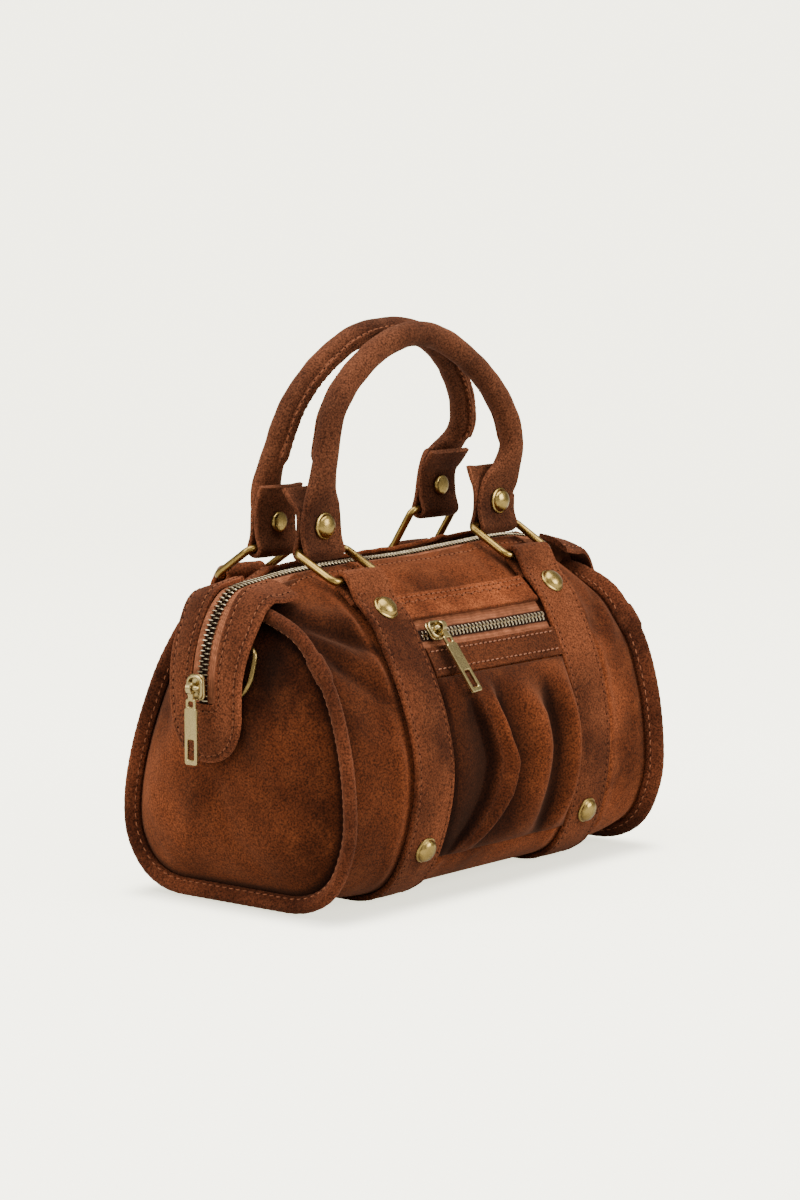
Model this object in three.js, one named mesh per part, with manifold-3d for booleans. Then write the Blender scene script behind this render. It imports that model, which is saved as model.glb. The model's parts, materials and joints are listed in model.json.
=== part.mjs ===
// A small suede bowling bag: two rolled handles on rectangular rings, straps that run under the
// base, a pleated zip pocket on the front and a zip that runs over the top and down both ends.
// Millimetres, +Z up, the front with the pocket towards -Y, the floor at Z = 0.

import * as THREE from 'three';
import { mergeVertices } from 'three/addons/utils/BufferGeometryUtils.js';
import Module from 'manifold-3d';

const wasm = await Module();
wasm.setup();

const { lerp, degToRad } = THREE.MathUtils;
const vec = (x, y, z) => new THREE.Vector3(x, y, z);
const X_AXIS = vec(1, 0, 0);
const Y_AXIS = vec(0, 1, 0);
const Z_AXIS = vec(0, 0, 1);
const LEFT = -1;
const RIGHT = 1;
const FRONT = -1;
const BACK = 1;

// Driving sizes
const GAP = 0.3;
const WALL = 1.6;
const SEAM_X = 105.5;
const ZIP_SLOT_Y = 7;
const STRAP_X = 60;
const STRAP_WIDTH = 26;
const STRAP_THICK = 2.4;
const RIVET_RADIUS = 6;
const RIVET_HEIGHT = 4;

// Sides in the order they are built
const ENDS = [
  { name: 'left', end: LEFT },
  { name: 'right', end: RIGHT },
];
const FACES = [
  { name: 'front', side: FRONT },
  { name: 'back', side: BACK },
];

// The bag is drawn under its zip's middle, above the floor by the sag of its base; this shift puts
// the origin under the middle of the whole bag's box
const SAG = 1.2;
const BOX_SHIFT = vec(3.6, 5.2, SAG);

// Half of the wrap's section, from the middle of the base up to the zip: halfway along the bag
// and at the end seams, where the back leans in more than the front
const SECTION = [
  { depth: 0, height: 1.5, endDepth: 0, endBack: 0, endHeight: 6.4 },
  { depth: 34, height: 1.5, endDepth: 32, endBack: 31, endHeight: 6.4 },
  { depth: 47, height: 5.4, endDepth: 45.5, endBack: 44, endHeight: 9.5 },
  { depth: 55, height: 13, endDepth: 54, endBack: 52, endHeight: 16 },
  { depth: 60.5, height: 25, endDepth: 59, endBack: 57, endHeight: 25.5 },
  { depth: 64.5, height: 42, endDepth: 62, endBack: 58, endHeight: 37 },
  { depth: 65.5, height: 60, endDepth: 62, endBack: 56, endHeight: 51 },
  { depth: 62.5, height: 78, endDepth: 60, endBack: 51, endHeight: 68 },
  { depth: 57.5, height: 94, endDepth: 56, endBack: 44.5, endHeight: 84 },
  { depth: 51.5, height: 106, endDepth: 51, endBack: 38.5, endHeight: 96.5 },
  { depth: 43.5, height: 117, endDepth: 44, endBack: 32, endHeight: 107 },
  { depth: 33, height: 127.5, endDepth: 34.5, endBack: 24.5, endHeight: 117 },
  { depth: 19, height: 137.5, endDepth: 19, endBack: 15.5, endHeight: 123.5 },
  { depth: ZIP_SLOT_Y, height: 142, endDepth: ZIP_SLOT_Y, endBack: ZIP_SLOT_Y, endHeight: 125.5 },
];

// Where the top stands higher: along the zip's right end, and in a soft ridge behind the zip
const RIGHT_LIFT = { x: 84, wide: 46, rise: 5 };
const BACK_RIDGE = { y: 15, wide: 13, rise: 3.5 };

// Swells and hollows of the soft front and back: centre, half sizes and how far each pushes out
const SWELLS = [
  { side: FRONT, x: -58, height: 58, wide: 42, tall: 40, rise: 3 },
  { side: FRONT, x: 62, height: 55, wide: 40, tall: 40, rise: -1.5 },
  { side: FRONT, x: -86, height: 118, wide: 11, tall: 13, rise: -3.5 },
  { side: FRONT, x: -88, height: 84, wide: 13, tall: 22, rise: -2.5 },
  { side: FRONT, x: 88, height: 96, wide: 11, tall: 24, rise: -2.5 },
  { side: BACK, x: 0, height: 126, wide: 80, tall: 24, rise: 3 },
  { side: BACK, x: -88, height: 92, wide: 12, tall: 26, rise: -2.5 },
  { side: BACK, x: 88, height: 92, wide: 12, tall: 26, rise: -2.5 },
  { side: BACK, x: 4, height: 72, wide: 34, tall: 30, rise: -2 },
];

// Materials
const suede = new THREE.MeshStandardMaterial({ color: 0x84472a, roughness: 0.95, metalness: 0 });
const tape = new THREE.MeshStandardMaterial({ color: 0x7a3f26, roughness: 0.9, metalness: 0 });
const brass = new THREE.MeshStandardMaterial({ color: 0xa18a4e, roughness: 0.35, metalness: 1 });

const bag = new THREE.Group();
bag.position.copy(BOX_SHIFT);

function add(name, geometry, material) {
  const mesh = new THREE.Mesh(geometry, material);
  mesh.name = name;
  bag.add(mesh);
  return mesh;
}

// A closed mesh from points and triangles, welded, without collapsed triangles, facing outwards
function closedMesh(points, triangles) {
  const geometry = new THREE.BufferGeometry().setFromPoints(points);
  geometry.setIndex(triangles.flat());
  const welded = mergeVertices(geometry, 1e-4);
  const place = welded.getAttribute('position');
  const corner = (i) => new THREE.Vector3().fromBufferAttribute(place, i);
  const index = welded.getIndex().array;
  const kept = [];
  let volume = 0;
  for (let i = 0; i < index.length; i += 3) {
    const [a, b, c] = index.slice(i, i + 3);
    if (a === b || b === c || c === a) continue;
    kept.push([a, b, c]);
    volume += corner(a).dot(corner(b).cross(corner(c)));
  }
  welded.setIndex((volume < 0 ? kept.map(([a, b, c]) => [a, c, b]) : kept).flat());
  welded.computeVertexNormals();
  return welded;
}

// The solid between two grids of points; its columns may close into a loop
function slab(low, high, loop = false) {
  const rows = low.length;
  const columns = low[0].length;
  const points = [...low.flat(), ...high.flat()];
  const at = (layer, i, j) => layer * rows * columns + i * columns + (j % columns);
  const triangles = [];
  const quad = (a, b, c, d) => triangles.push([a, b, c], [a, c, d]);
  const spans = loop ? columns : columns - 1;
  for (let j = 0; j < spans; j += 1) {
    for (let i = 0; i < rows - 1; i += 1) {
      quad(at(0, i, j), at(0, i, j + 1), at(0, i + 1, j + 1), at(0, i + 1, j));
      quad(at(1, i, j), at(1, i + 1, j), at(1, i + 1, j + 1), at(1, i, j + 1));
    }
    quad(at(0, 0, j), at(1, 0, j), at(1, 0, j + 1), at(0, 0, j + 1));
    quad(at(0, rows - 1, j), at(0, rows - 1, j + 1), at(1, rows - 1, j + 1), at(1, rows - 1, j));
  }
  for (let i = 0; !loop && i < rows - 1; i += 1) {
    quad(at(0, i, 0), at(0, i + 1, 0), at(1, i + 1, 0), at(1, i, 0));
    const last = columns - 1;
    quad(at(0, i, last), at(1, i, last), at(1, i + 1, last), at(0, i + 1, last));
  }
  return closedMesh(points, triangles);
}

// The solid through a row of closed sections, capped at both ends or joined into a ring
function loft(sections, ring = false) {
  const sides = sections[0].length;
  const at = (i, k) => (i % sections.length) * sides + (k % sides);
  const triangles = [];
  const spans = ring ? sections.length : sections.length - 1;
  for (let i = 0; i < spans; i += 1) {
    for (let k = 0; k < sides; k += 1) {
      triangles.push([at(i, k), at(i, k + 1), at(i + 1, k + 1)]);
      triangles.push([at(i, k), at(i + 1, k + 1), at(i + 1, k)]);
    }
  }
  for (let k = 1; !ring && k < sides - 1; k += 1) {
    triangles.push([at(0, 0), at(0, k + 1), at(0, k)]);
    const last = sections.length - 1;
    triangles.push([at(last, 0), at(last, k), at(last, k + 1)]);
  }
  return closedMesh(sections.flat(), triangles);
}

// A section carried along a path: across(along, i) gives the direction of its width, and shape(i)
// its points across and out
function sweep(path, across, shape, ring = false) {
  const last = path.length - 1;
  const sections = path.map((point, i) => {
    const before = path[ring ? (i + last) % path.length : Math.max(i - 1, 0)];
    const after = path[ring ? (i + 1) % path.length : Math.min(i + 1, last)];
    const along = after.clone().sub(before).normalize();
    const wide = across(along, i).clone();
    wide.addScaledVector(along, -wide.dot(along)).normalize();
    const out = along.clone().cross(wide);
    const place = ([a, b]) => point.clone().addScaledVector(wide, a).addScaledVector(out, b);
    return shape(i).map(place);
  });
  return loft(sections, ring);
}

const rectangle = (width, thick) => [
  [-width / 2, -thick / 2],
  [width / 2, -thick / 2],
  [width / 2, thick / 2],
  [-width / 2, thick / 2],
];

function toSolid(geometry) {
  const bare = new THREE.BufferGeometry();
  bare.setAttribute('position', geometry.getAttribute('position'));
  bare.setIndex(geometry.getIndex());
  const merged = mergeVertices(bare, 1e-4);
  return new wasm.Manifold(new wasm.Mesh({
    numProp: 3,
    vertProperties: new Float32Array(merged.getAttribute('position').array),
    triVerts: new Uint32Array(merged.getIndex().array),
  }));
}

function toGeometry(solid) {
  const mesh = solid.getMesh();
  const geometry = new THREE.BufferGeometry();
  geometry.setAttribute('position', new THREE.BufferAttribute(mesh.vertProperties, 3));
  geometry.setIndex(new THREE.BufferAttribute(mesh.triVerts, 1));
  geometry.computeVertexNormals();
  return geometry;
}

const box = (wide, deep, tall, x, y, z) =>
  toSolid(new THREE.BoxGeometry(wide, deep, tall).translate(x, y, z));

const steps = (from, to, count) =>
  Array.from({ length: count + 1 }, (_, i) => lerp(from, to, i / count));

// The body's outer surface: x along the bag, wrap from -1 at the zip's front edge through 0 under
// the base to 1 at its back edge
const sectionSpline = (depth, height) =>
  new THREE.SplineCurve(SECTION.map((row) => new THREE.Vector2(row[depth], row[height])));
const middleSection = sectionSpline('depth', 'height');
const endSection = {
  [FRONT]: sectionSpline('endDepth', 'endHeight'),
  [BACK]: sectionSpline('endBack', 'endHeight'),
};
const DEPTH_POWER = 5;
const HEIGHT_POWER = 7;
const hump = (value, middle, wide) => Math.exp(-(((value - middle) / wide) ** 2));
const rightLift = (x) => RIGHT_LIFT.rise * hump(x, RIGHT_LIFT.x, RIGHT_LIFT.wide);

function bodyPoint(x, wrap) {
  const share = Math.abs(x) / SEAM_X;
  const side = wrap < 0 ? FRONT : BACK;
  const middle = middleSection.getPoint(Math.abs(wrap));
  const end = endSection[side].getPoint(Math.abs(wrap));
  const base = lerp(SECTION[0].height, SECTION[0].endHeight, share ** HEIGHT_POWER);
  let height = Math.max(lerp(middle.y, end.y, share ** HEIGHT_POWER), base);
  let depth = lerp(middle.x, end.x, share ** DEPTH_POWER);
  for (const swell of SWELLS.filter((row) => row.side === side)) {
    const near = hump(x, swell.x, swell.wide) * hump(height, swell.height, swell.tall);
    depth += swell.rise * near * (1 - share ** DEPTH_POWER);
  }
  const soft = (1 - share ** HEIGHT_POWER) * Math.abs(wrap) ** 6;
  height += soft * rightLift(x);
  if (side === BACK) height += soft * BACK_RIDGE.rise * hump(depth, BACK_RIDGE.y, BACK_RIDGE.wide);
  return vec(x, side * depth, height);
}

function bodyNormal(x, wrap) {
  const small = 1e-3;
  const along = bodyPoint(x + small, wrap).sub(bodyPoint(x - small, wrap));
  const low = Math.max(wrap - small, -1);
  const high = Math.min(wrap + small, 1);
  return bodyPoint(x, high).sub(bodyPoint(x, low)).cross(along).normalize();
}

const offBody = (x, wrap, off) => bodyPoint(x, wrap).addScaledVector(bodyNormal(x, wrap), off);

// The wrap at which the middle section reaches a height
function wrapAt(height) {
  let low = 0;
  let high = 1;
  for (let i = 0; i < 40; i += 1) {
    const half = (low + high) / 2;
    if (middleSection.getPoint(half).y < height) low = half;
    else high = half;
  }
  return low;
}

// The end seam as a closed outline with its normals, the same at both ends
const WRAP_STEPS = 26;
const WRAPS = steps(-1, 1, WRAP_STEPS);
const SEAM_CREST = 0.4;
const seamPoints = [
  ...WRAPS.map((wrap) => bodyPoint(SEAM_X, wrap).setX(0)),
  vec(0, 0, SECTION.at(-1).endHeight + SEAM_CREST),
];
const SEAM = seamPoints.map((point, j) => {
  const count = seamPoints.length;
  const along = seamPoints[(j + 1) % count].clone().sub(seamPoints[(j + count - 1) % count]);
  return { point, out: along.cross(X_AXIS).normalize() };
});

// The seam allowances stand out diagonally: a point so far along and below the flange
const TURN = degToRad(45);
const FLANGE = 8.6;

function flangePoint(end, { point, out }, along, below) {
  const x = end * (SEAM_X + along * Math.cos(TURN) + below * Math.sin(TURN));
  return vec(x, point.y, point.z)
    .addScaledVector(out, along * Math.sin(TURN) - below * Math.cos(TURN));
}

// Body panel: one wrap of front, base and back, with its end allowances turned out
{
  const xs = [0, 22, 44, 60, 74, 84, 92, 99];
  const stations = [...xs.slice(1).reverse().map((x) => -x), ...xs];
  const seamWall = WALL * Math.tan(TURN / 2);
  const seamRow = (end, along) => SEAM.slice(0, -1).map((s) => flangePoint(end, s, along, 0));
  const tipWall = (end) => SEAM.slice(0, -1).map((s) => flangePoint(end, s, FLANGE, WALL));
  const cornerWall = (end) => seamRow(end, 0).map((point, j) =>
    point.addScaledVector(SEAM[j].out, -WALL).addScaledVector(X_AXIS, end * seamWall));
  const outer = stations.map((x) => WRAPS.map((wrap) => bodyPoint(x, wrap)));
  const inner = stations.map((x) => WRAPS.map((wrap) => offBody(x, wrap, -WALL)));
  add('body_panel', slab(
    [tipWall(LEFT), cornerWall(LEFT), ...inner, cornerWall(RIGHT), tipWall(RIGHT)],
    [seamRow(LEFT, FLANGE), seamRow(LEFT, 0), ...outer, seamRow(RIGHT, 0), seamRow(RIGHT, FLANGE)],
  ), suede);
}

// End panels: convex pillows sewn to the wrap, each with its own turned-out allowance
const END_MIDDLE = vec(0, 0, 62);
const END_BULGE = 16.5;
const END_POWER = 3;
const END_LOW = WALL + GAP;
const END_HIGH = 2 * WALL + GAP;
const END_CORNER = { low: 1.2, high: 2.6 };

// The end panel's inner face, share 0 in the middle and 1 at the seam
function endPoint(end, station, share) {
  const rim = flangePoint(end, station, END_CORNER.low, END_LOW);
  const middle = END_MIDDLE.clone().setX(rim.x);
  const bulge = END_BULGE * (1 - share ** END_POWER);
  return middle.lerp(rim, share).addScaledVector(X_AXIS, end * bulge);
}

function endNormal(end, j, share) {
  const small = 1e-3;
  const next = SEAM[(j + 1) % SEAM.length];
  const last = SEAM[(j + SEAM.length - 1) % SEAM.length];
  const round = endPoint(end, next, share).sub(endPoint(end, last, share));
  const out = endPoint(end, SEAM[j], share + small).sub(endPoint(end, SEAM[j], share - small));
  const normal = round.cross(out).normalize();
  return normal.x * end < 0 ? normal.negate() : normal;
}

for (const { name, end } of ENDS) {
  const shares = [0.3, 0.55, 0.75, 0.9];
  const low = shares.map((share) => SEAM.map((s) => endPoint(end, s, share)));
  const high = shares.map((share) => SEAM.map((s, j) =>
    endPoint(end, s, share).addScaledVector(endNormal(end, j, share), WALL)));
  const middle = endPoint(end, SEAM[0], 0);
  const rimRow = (along, below) => SEAM.map((s) => flangePoint(end, s, along, below));
  const pole = (x) => SEAM.map(() => middle.clone().setX(x));
  add(`end_panel_${name}`, slab(
    [pole(middle.x), ...low, rimRow(END_CORNER.low, END_LOW), rimRow(FLANGE, END_LOW)],
    [
      pole(middle.x + end * WALL),
      ...high,
      rimRow(END_CORNER.high, END_HIGH),
      rimRow(FLANGE, END_HIGH),
    ],
    true,
  ), suede);
}

// Edge bindings: a strip folded over both allowances, all the way round each end
const BINDING = { wall: 1.2, tip: 10.2, chamfer: 1, bodyStart: 0.9, endStart: 3 };
for (const { name, end } of ENDS) {
  const { wall, tip, chamfer, bodyStart, endStart } = BINDING;
  const top = -GAP - wall;
  const bottom = END_HIGH + GAP + wall;
  const shape = [
    [bodyStart, top],
    [tip - chamfer, top],
    [tip, top + chamfer],
    [tip, bottom - chamfer],
    [tip - chamfer, bottom],
    [endStart, bottom],
    [endStart, bottom - wall],
    [FLANGE + GAP, bottom - wall],
    [FLANGE + GAP, top + wall],
    [bodyStart, top + wall],
  ];
  const sections = SEAM.map((s) => shape.map(([along, below]) => flangePoint(end, s, along, below)));
  add(`binding_${name}`, loft(sections, true), suede);
}

// The zip's path at Y = 0, from the middle of the top over the end and down the tab
const ZIP_PATH = [
  { x: 0, z: 141.4 },
  { x: 40, z: 141.3 },
  { x: 76, z: 140 },
  { x: 92, z: 138.4 },
  { x: 105.5, z: 136.9 },
  { x: 112, z: 135.3 },
  { x: 117.5, z: 131 },
  { x: 123, z: 123.5 },
  { x: 127.6, z: 112.5 },
  { x: 130, z: 100 },
  { x: 129.8, z: 89.6 },
];
const TAPE = { width: 12, thick: 1 };
const CHAIN = { width: 6, height: 2.4 };
const ZIP_STEPS = 34;
const LIFT_FOOT = 95;
const liftShare = (z) => Math.max(0, (z - LIFT_FOOT) / (ZIP_PATH[0].z - LIFT_FOOT));
const lifted = (x, z) => z + rightLift(x) * liftShare(z);
const zipCurve = new THREE.CatmullRomCurve3([
  ...ZIP_PATH.slice(1).reverse().map(({ x, z }) => vec(-x, 0, lifted(-x, z))),
  ...ZIP_PATH.map(({ x, z }) => vec(x, 0, lifted(x, z))),
]);
const zipPoints = zipCurve.getSpacedPoints(ZIP_STEPS);
add('zip_tape', sweep(zipPoints, () => Y_AXIS, () => rectangle(TAPE.width, TAPE.thick)), tape);

// The closed teeth stand on the tape as one ridge
{
  const { width, height } = CHAIN;
  const foot = TAPE.thick / 2 + GAP;
  const shape = [
    [-width / 2, foot],
    [width / 2, foot],
    [width / 2, foot + height * 0.6],
    [width / 4, foot + height],
    [-width / 4, foot + height],
    [-width / 2, foot + height * 0.6],
  ];
  add('zip_chain', sweep(zipPoints, () => Y_AXIS, () => shape), brass);
}

// Zip tabs: a strip over each end, slotted for the zip and rounded at its lower end
const TAB_THICK = 2.6;
const TAB_ROWS = [
  { x: 97, z: 140, half: 24, drop: 6.6 },
  { x: 101, z: 139.2, half: 24, drop: 6.3 },
  { x: 105.5, z: 138.4, half: 23.8, drop: 6 },
  { x: 112, z: 137, half: 23.4, drop: 4.4 },
  { x: 117.8, z: 132.6, half: 23, drop: 3.6 },
  { x: 123, z: 123.8, half: 22.4, drop: 3 },
  { x: 127.6, z: 112.5, half: 21.4, drop: 2 },
  { x: 130, z: 100, half: 20.4, drop: 1.2 },
  { x: 129.8, z: 89, half: 20, drop: 0.8 },
  { x: 129.2, z: 80, half: 19.2, drop: 0.6 },
  { x: 128.6, z: 73, half: 16.5, drop: 0.4 },
  { x: 128.2, z: 68, half: 12.5, drop: 0.2 },
  { x: 127.9, z: 65, half: 7.5, drop: 0 },
  { x: 127.8, z: 63.6, half: 2, drop: 0 },
];
const TAB_COLUMNS = steps(-1, 1, 4);
const SLOT_END_ROW = 8;

function tabGrid(end, halfWidth, offset) {
  return TAB_ROWS.map((row, i) => {
    const before = TAB_ROWS[Math.max(i - 1, 0)];
    const after = TAB_ROWS[Math.min(i + 1, TAB_ROWS.length - 1)];
    const out = vec(before.z - after.z, 0, after.x - before.x).normalize();
    return TAB_COLUMNS.map((column) => {
      const y = column * (halfWidth ?? row.half);
      const off = offset - row.drop * (y / row.half) ** 2;
      return vec(end * (row.x + out.x * off), y, lifted(end * row.x, row.z) + out.z * off);
    });
  });
}

for (const { name, end } of ENDS) {
  const strip = slab(tabGrid(end, null, -TAB_THICK / 2), tabGrid(end, null, TAB_THICK / 2));
  const slotGrid = (offset) => {
    const kept = tabGrid(end, ZIP_SLOT_Y, offset).slice(0, SLOT_END_ROW + 1);
    const mouth = kept[0].map((point) => point.clone().addScaledVector(X_AXIS, -end * TAB_THICK));
    return [mouth, ...kept];
  };
  const slot = slab(slotGrid(-2 * TAB_THICK), slotGrid(2 * TAB_THICK));
  add(`zip_tab_${name}`, toGeometry(toSolid(strip).subtract(toSolid(slot))), suede);
}

// Slider and pull, made flat: the bridge bar lies along X, the pull hangs to -Y, Z is outwards
const PULL_AXIS = 3;
const PULL = { wide: 7, thick: 1.6, length: 33, eye: 2.6, bore: 1.6, neck: 2.8 };
const SLIDER_PLATE = 1.4;

function sliderGeometry(wide, long) {
  const postX = 2.8;
  const post = { wide: 1.8, deep: 2.2, tall: PULL_AXIS + 0.7 };
  const bar = { wide: 2 * postX, deep: 1.4, tall: 1.4 };
  let solid = box(wide, long, SLIDER_PLATE, 0, 0, -SLIDER_PLATE / 2);
  for (const x of [-postX, postX]) {
    solid = solid.add(box(post.wide, post.deep, post.tall + 0.4, x, 0, post.tall / 2 - 0.2));
  }
  return toGeometry(solid.add(box(bar.wide, bar.deep, bar.tall, 0, 0, PULL_AXIS)));
}

// The pull's eye is a short sleeve round the bar; its window is near the lower end
function pullGeometry() {
  const { wide, thick, length, eye, bore, neck } = PULL;
  const sleeve = new THREE.Shape().absarc(0, 0, eye, 0, 2 * Math.PI);
  sleeve.holes.push(new THREE.Path().absarc(0, 0, bore, 0, 2 * Math.PI, true));
  const sleeveGeometry = new THREE.ExtrudeGeometry(sleeve, {
    depth: neck,
    curveSegments: 7,
    bevelEnabled: false,
  });
  sleeveGeometry.translate(0, 0, -neck / 2).rotateY(Math.PI / 2);
  const start = -eye + 0.4;
  const shoulder = -5;
  const plateLength = length + shoulder;
  const window = { wide: 3.8, long: 8.5, edge: 2.2 };
  const neckLength = start - shoulder + 1;
  const windowMiddle = window.edge + window.long / 2 - length;
  return toGeometry(toSolid(sleeveGeometry)
    .add(box(neck, neckLength, thick, 0, start - neckLength / 2, 0))
    .add(box(wide, plateLength, thick, 0, shoulder - plateLength / 2, 0))
    .subtract(box(window.wide, window.long, 4 * thick, 0, windowMiddle, 0)));
}

// Places a flat-made piece with its bar along one direction and its outward side along another
function seat(mesh, place, bar, out) {
  const up = out.clone().cross(bar);
  mesh.quaternion.setFromRotationMatrix(new THREE.Matrix4().makeBasis(bar, up, out));
  mesh.position.copy(place);
}

// End zip: the slider stands on the chain's lower left end and its pull hangs straight down
const SLIDER_SHARE = 0.022;
{
  const foot = zipCurve.getPointAt(SLIDER_SHARE);
  const along = zipCurve.getTangentAt(SLIDER_SHARE);
  const out = along.clone().cross(Y_AXIS);
  const rise = TAPE.thick / 2 + CHAIN.height + 2 * GAP + SLIDER_PLATE;
  const place = foot.addScaledVector(out, rise);
  const bar = vec(0, -1, 0);
  seat(add('zip_slider', sliderGeometry(9, 11), brass), place, bar, out);
  const axis = place.clone().addScaledVector(out, PULL_AXIS);
  seat(add('zip_pull', pullGeometry(), brass), axis, bar, vec(-1, 0, 0));
}

// Straps: up the front, folded round a ring, under the base and up the back to the other ring
const RING = { wide: 36, long: 28, wire: 3.5, corner: 3 };
const RING_REACH = RING.long - RING.wire;
const LOOP_RADIUS = RING.wire / 2 + GAP + STRAP_THICK / 2;
const STRAP_GAP = 0.3;
const LAYER = STRAP_THICK / 2 + STRAP_GAP;
const HALF_PAIR = (STRAP_THICK + GAP) / 2;
const LOOPS = {
  [FRONT]: { height: 134, stand: 5.4, taper: 12 },
  [BACK]: { height: 128, stand: 11, taper: 30 },
};
const LOOP_LENGTH = 27;
const RETURN_LENGTH = 11;
const RIVET_FROM_BAR = 19;

// The strap lies on the highest of the body across its width
function strapBase(strapX, wrap, off) {
  const xs = [-0.5, 0, 0.5].map((share) => strapX + share * STRAP_WIDTH);
  const normal = bodyNormal(strapX, wrap).setX(0).normalize();
  const rise = (x) => bodyPoint(x, wrap).setX(0).dot(normal);
  const best = xs.reduce((a, b) => (rise(b) > rise(a) ? b : a));
  return bodyPoint(best, wrap).setX(strapX).addScaledVector(normal, off);
}

// Where a strap's loop holds the ring: the bar's middle and the strap's outward direction there
function loopAt(strapX, side) {
  const { height, stand } = LOOPS[side];
  const wrap = side * wrapAt(height);
  const normal = bodyNormal(strapX, wrap).setX(0).normalize();
  return { wrap, normal, bar: strapBase(strapX, wrap, stand) };
}

// The middle of a strap's upper or lower layer, so far down from the bar
function loopLayer(strapX, side, distance, upper) {
  const { stand, taper } = LOOPS[side];
  const { wrap } = loopAt(strapX, side);
  const small = 1e-3;
  const beside = bodyPoint(strapX, wrap - side * small);
  const wrapPerMm = small / bodyPoint(strapX, wrap).distanceTo(beside);
  const open = Math.max(0, 1 - distance / taper);
  const middle = lerp(LAYER + HALF_PAIR, stand, open);
  const half = lerp(HALF_PAIR, LOOP_RADIUS, open);
  return strapBase(strapX, wrap - side * distance * wrapPerMm, middle + (upper ? half : -half));
}

// One end of a strap, from the return layer's end round the bar and down to the body
function loopPath(strapX, side) {
  const { normal, bar } = loopAt(strapX, side);
  const lower = [RETURN_LENGTH, RETURN_LENGTH / 2].map((mm) => loopLayer(strapX, side, mm, false));
  const upslope = normal.clone().cross(X_AXIS).multiplyScalar(-side);
  const turn = steps(-90, 90, 6).map((angle) => bar.clone()
    .addScaledVector(normal, LOOP_RADIUS * Math.sin(degToRad(angle)))
    .addScaledVector(upslope, LOOP_RADIUS * Math.cos(degToRad(angle))));
  const upper = steps(LOOP_LENGTH / 4, LOOP_LENGTH, 3).map((mm) => loopLayer(strapX, side, mm, true));
  return [...lower, ...turn, ...upper];
}

const STRAP_FOOT_HEIGHT = 98;
for (const { name, end } of ENDS) {
  const x = end * STRAP_X;
  const top = wrapAt(STRAP_FOOT_HEIGHT);
  const run = WRAPS.filter((wrap) => Math.abs(wrap) < top).map((wrap) => strapBase(x, wrap, LAYER));
  const path = [...loopPath(x, FRONT), ...run, ...loopPath(x, BACK).reverse()];
  add(`strap_${name}`, sweep(path, () => X_AXIS, () => rectangle(STRAP_WIDTH, STRAP_THICK)), suede);
}

// Rings: each leans from the strap's loop towards the handle by its own angle, and is drawn a
// little aside in its loop
const RINGS = [
  { name: 'front_left', end: LEFT, side: FRONT, lean: 27, aside: -0.9 },
  { name: 'front_right', end: RIGHT, side: FRONT, lean: 30, aside: 0.9 },
  { name: 'back_left', end: LEFT, side: BACK, lean: 33, aside: -0.9 },
  { name: 'back_right', end: RIGHT, side: BACK, lean: 57, aside: 0.9 },
];
const roundSection = (radius, sides) => Array.from({ length: sides }, (_, k) => {
  const angle = (2 * Math.PI * (k + 0.5)) / sides;
  return [radius * Math.cos(angle), radius * Math.sin(angle)];
});

function ringGeometry() {
  const { wide, long, wire, corner } = RING;
  const halfWide = (wide - wire) / 2 - corner;
  const halfLong = (long - wire) / 2 - corner;
  const path = [[1, 1], [-1, 1], [-1, -1], [1, -1]].flatMap(([sx, sy], quarter) =>
    steps(0, 90, 2).map((angle) => {
      const turn = degToRad(angle + 90 * quarter);
      return vec(sx * halfWide + corner * Math.cos(turn), sy * halfLong + corner * Math.sin(turn), 0);
    }));
  return sweep(path, () => Z_AXIS, () => roundSection(wire / 2, 6), true);
}

const barAt = {};
for (const { name, end, side, lean, aside } of RINGS) {
  const lower = loopAt(end * STRAP_X, side).bar.addScaledVector(X_AXIS, aside);
  const angle = degToRad(lean);
  const towards = vec(0, -side * Math.cos(angle), Math.sin(angle));
  const mesh = add(`ring_${name}`, ringGeometry(), brass);
  mesh.position.copy(lower).addScaledVector(towards, RING_REACH / 2);
  mesh.rotation.x = side === FRONT ? angle : Math.PI - angle;
  barAt[name] = lower.clone().addScaledVector(towards, RING_REACH).addScaledVector(X_AXIS, aside);
}

// Handles: a rolled tube that flattens at each end, folds under its ring's bar and stands free
const HANDLE = { radius: 5.6, tabHalf: 13, tabThick: 2.6 };
const FOLD = HANDLE.tabThick / 2 + RING.wire / 2 + GAP;
const PAIR = (HANDLE.tabThick + GAP) / 2;
const HANDLE_RIVET_RISE = 11;
const PRESSED = { from: 6.2, to: HANDLE_RIVET_RISE + RIVET_RADIUS + 2 * GAP };
const RIVET_POST = 1.4;
const RIVET_HOLE = 1.8;
const RIVET_SIDES = 8;
const DRILL_LENGTH = 20;

// Each end's middle line from the bar: outward of the bar, up, how round the section is, and its
// shares of the leg's sideways sway and of the free end's inward lean
const TAB_LINE = [
  { out: -PAIR, up: 27, round: 0, sway: 0, lean: 1 },
  { out: -PAIR, up: 21.5, round: 0, sway: 0, lean: 0.42 },
  { out: -PAIR, up: PRESSED.to, round: 0, sway: 0, lean: 0 },
  { out: -PAIR, up: PRESSED.from, round: 0, sway: 0, lean: 0 },
  ...steps(-80, 80, 5).map((angle) => ({
    out: FOLD * Math.sin(degToRad(angle)),
    up: -FOLD * Math.cos(degToRad(angle)),
    round: 0,
    sway: 0,
    lean: 0,
  })),
  { out: PAIR, up: PRESSED.from, round: 0, sway: 0, lean: 0 },
  { out: PAIR, up: PRESSED.to, round: 0, sway: 0.2, lean: 0 },
  { out: PAIR + 0.8, up: 22, round: 0.4, sway: 0.5, lean: 0 },
  { out: PAIR + 1.5, up: 28, round: 0.85, sway: 0.8, lean: 0 },
];
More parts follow.
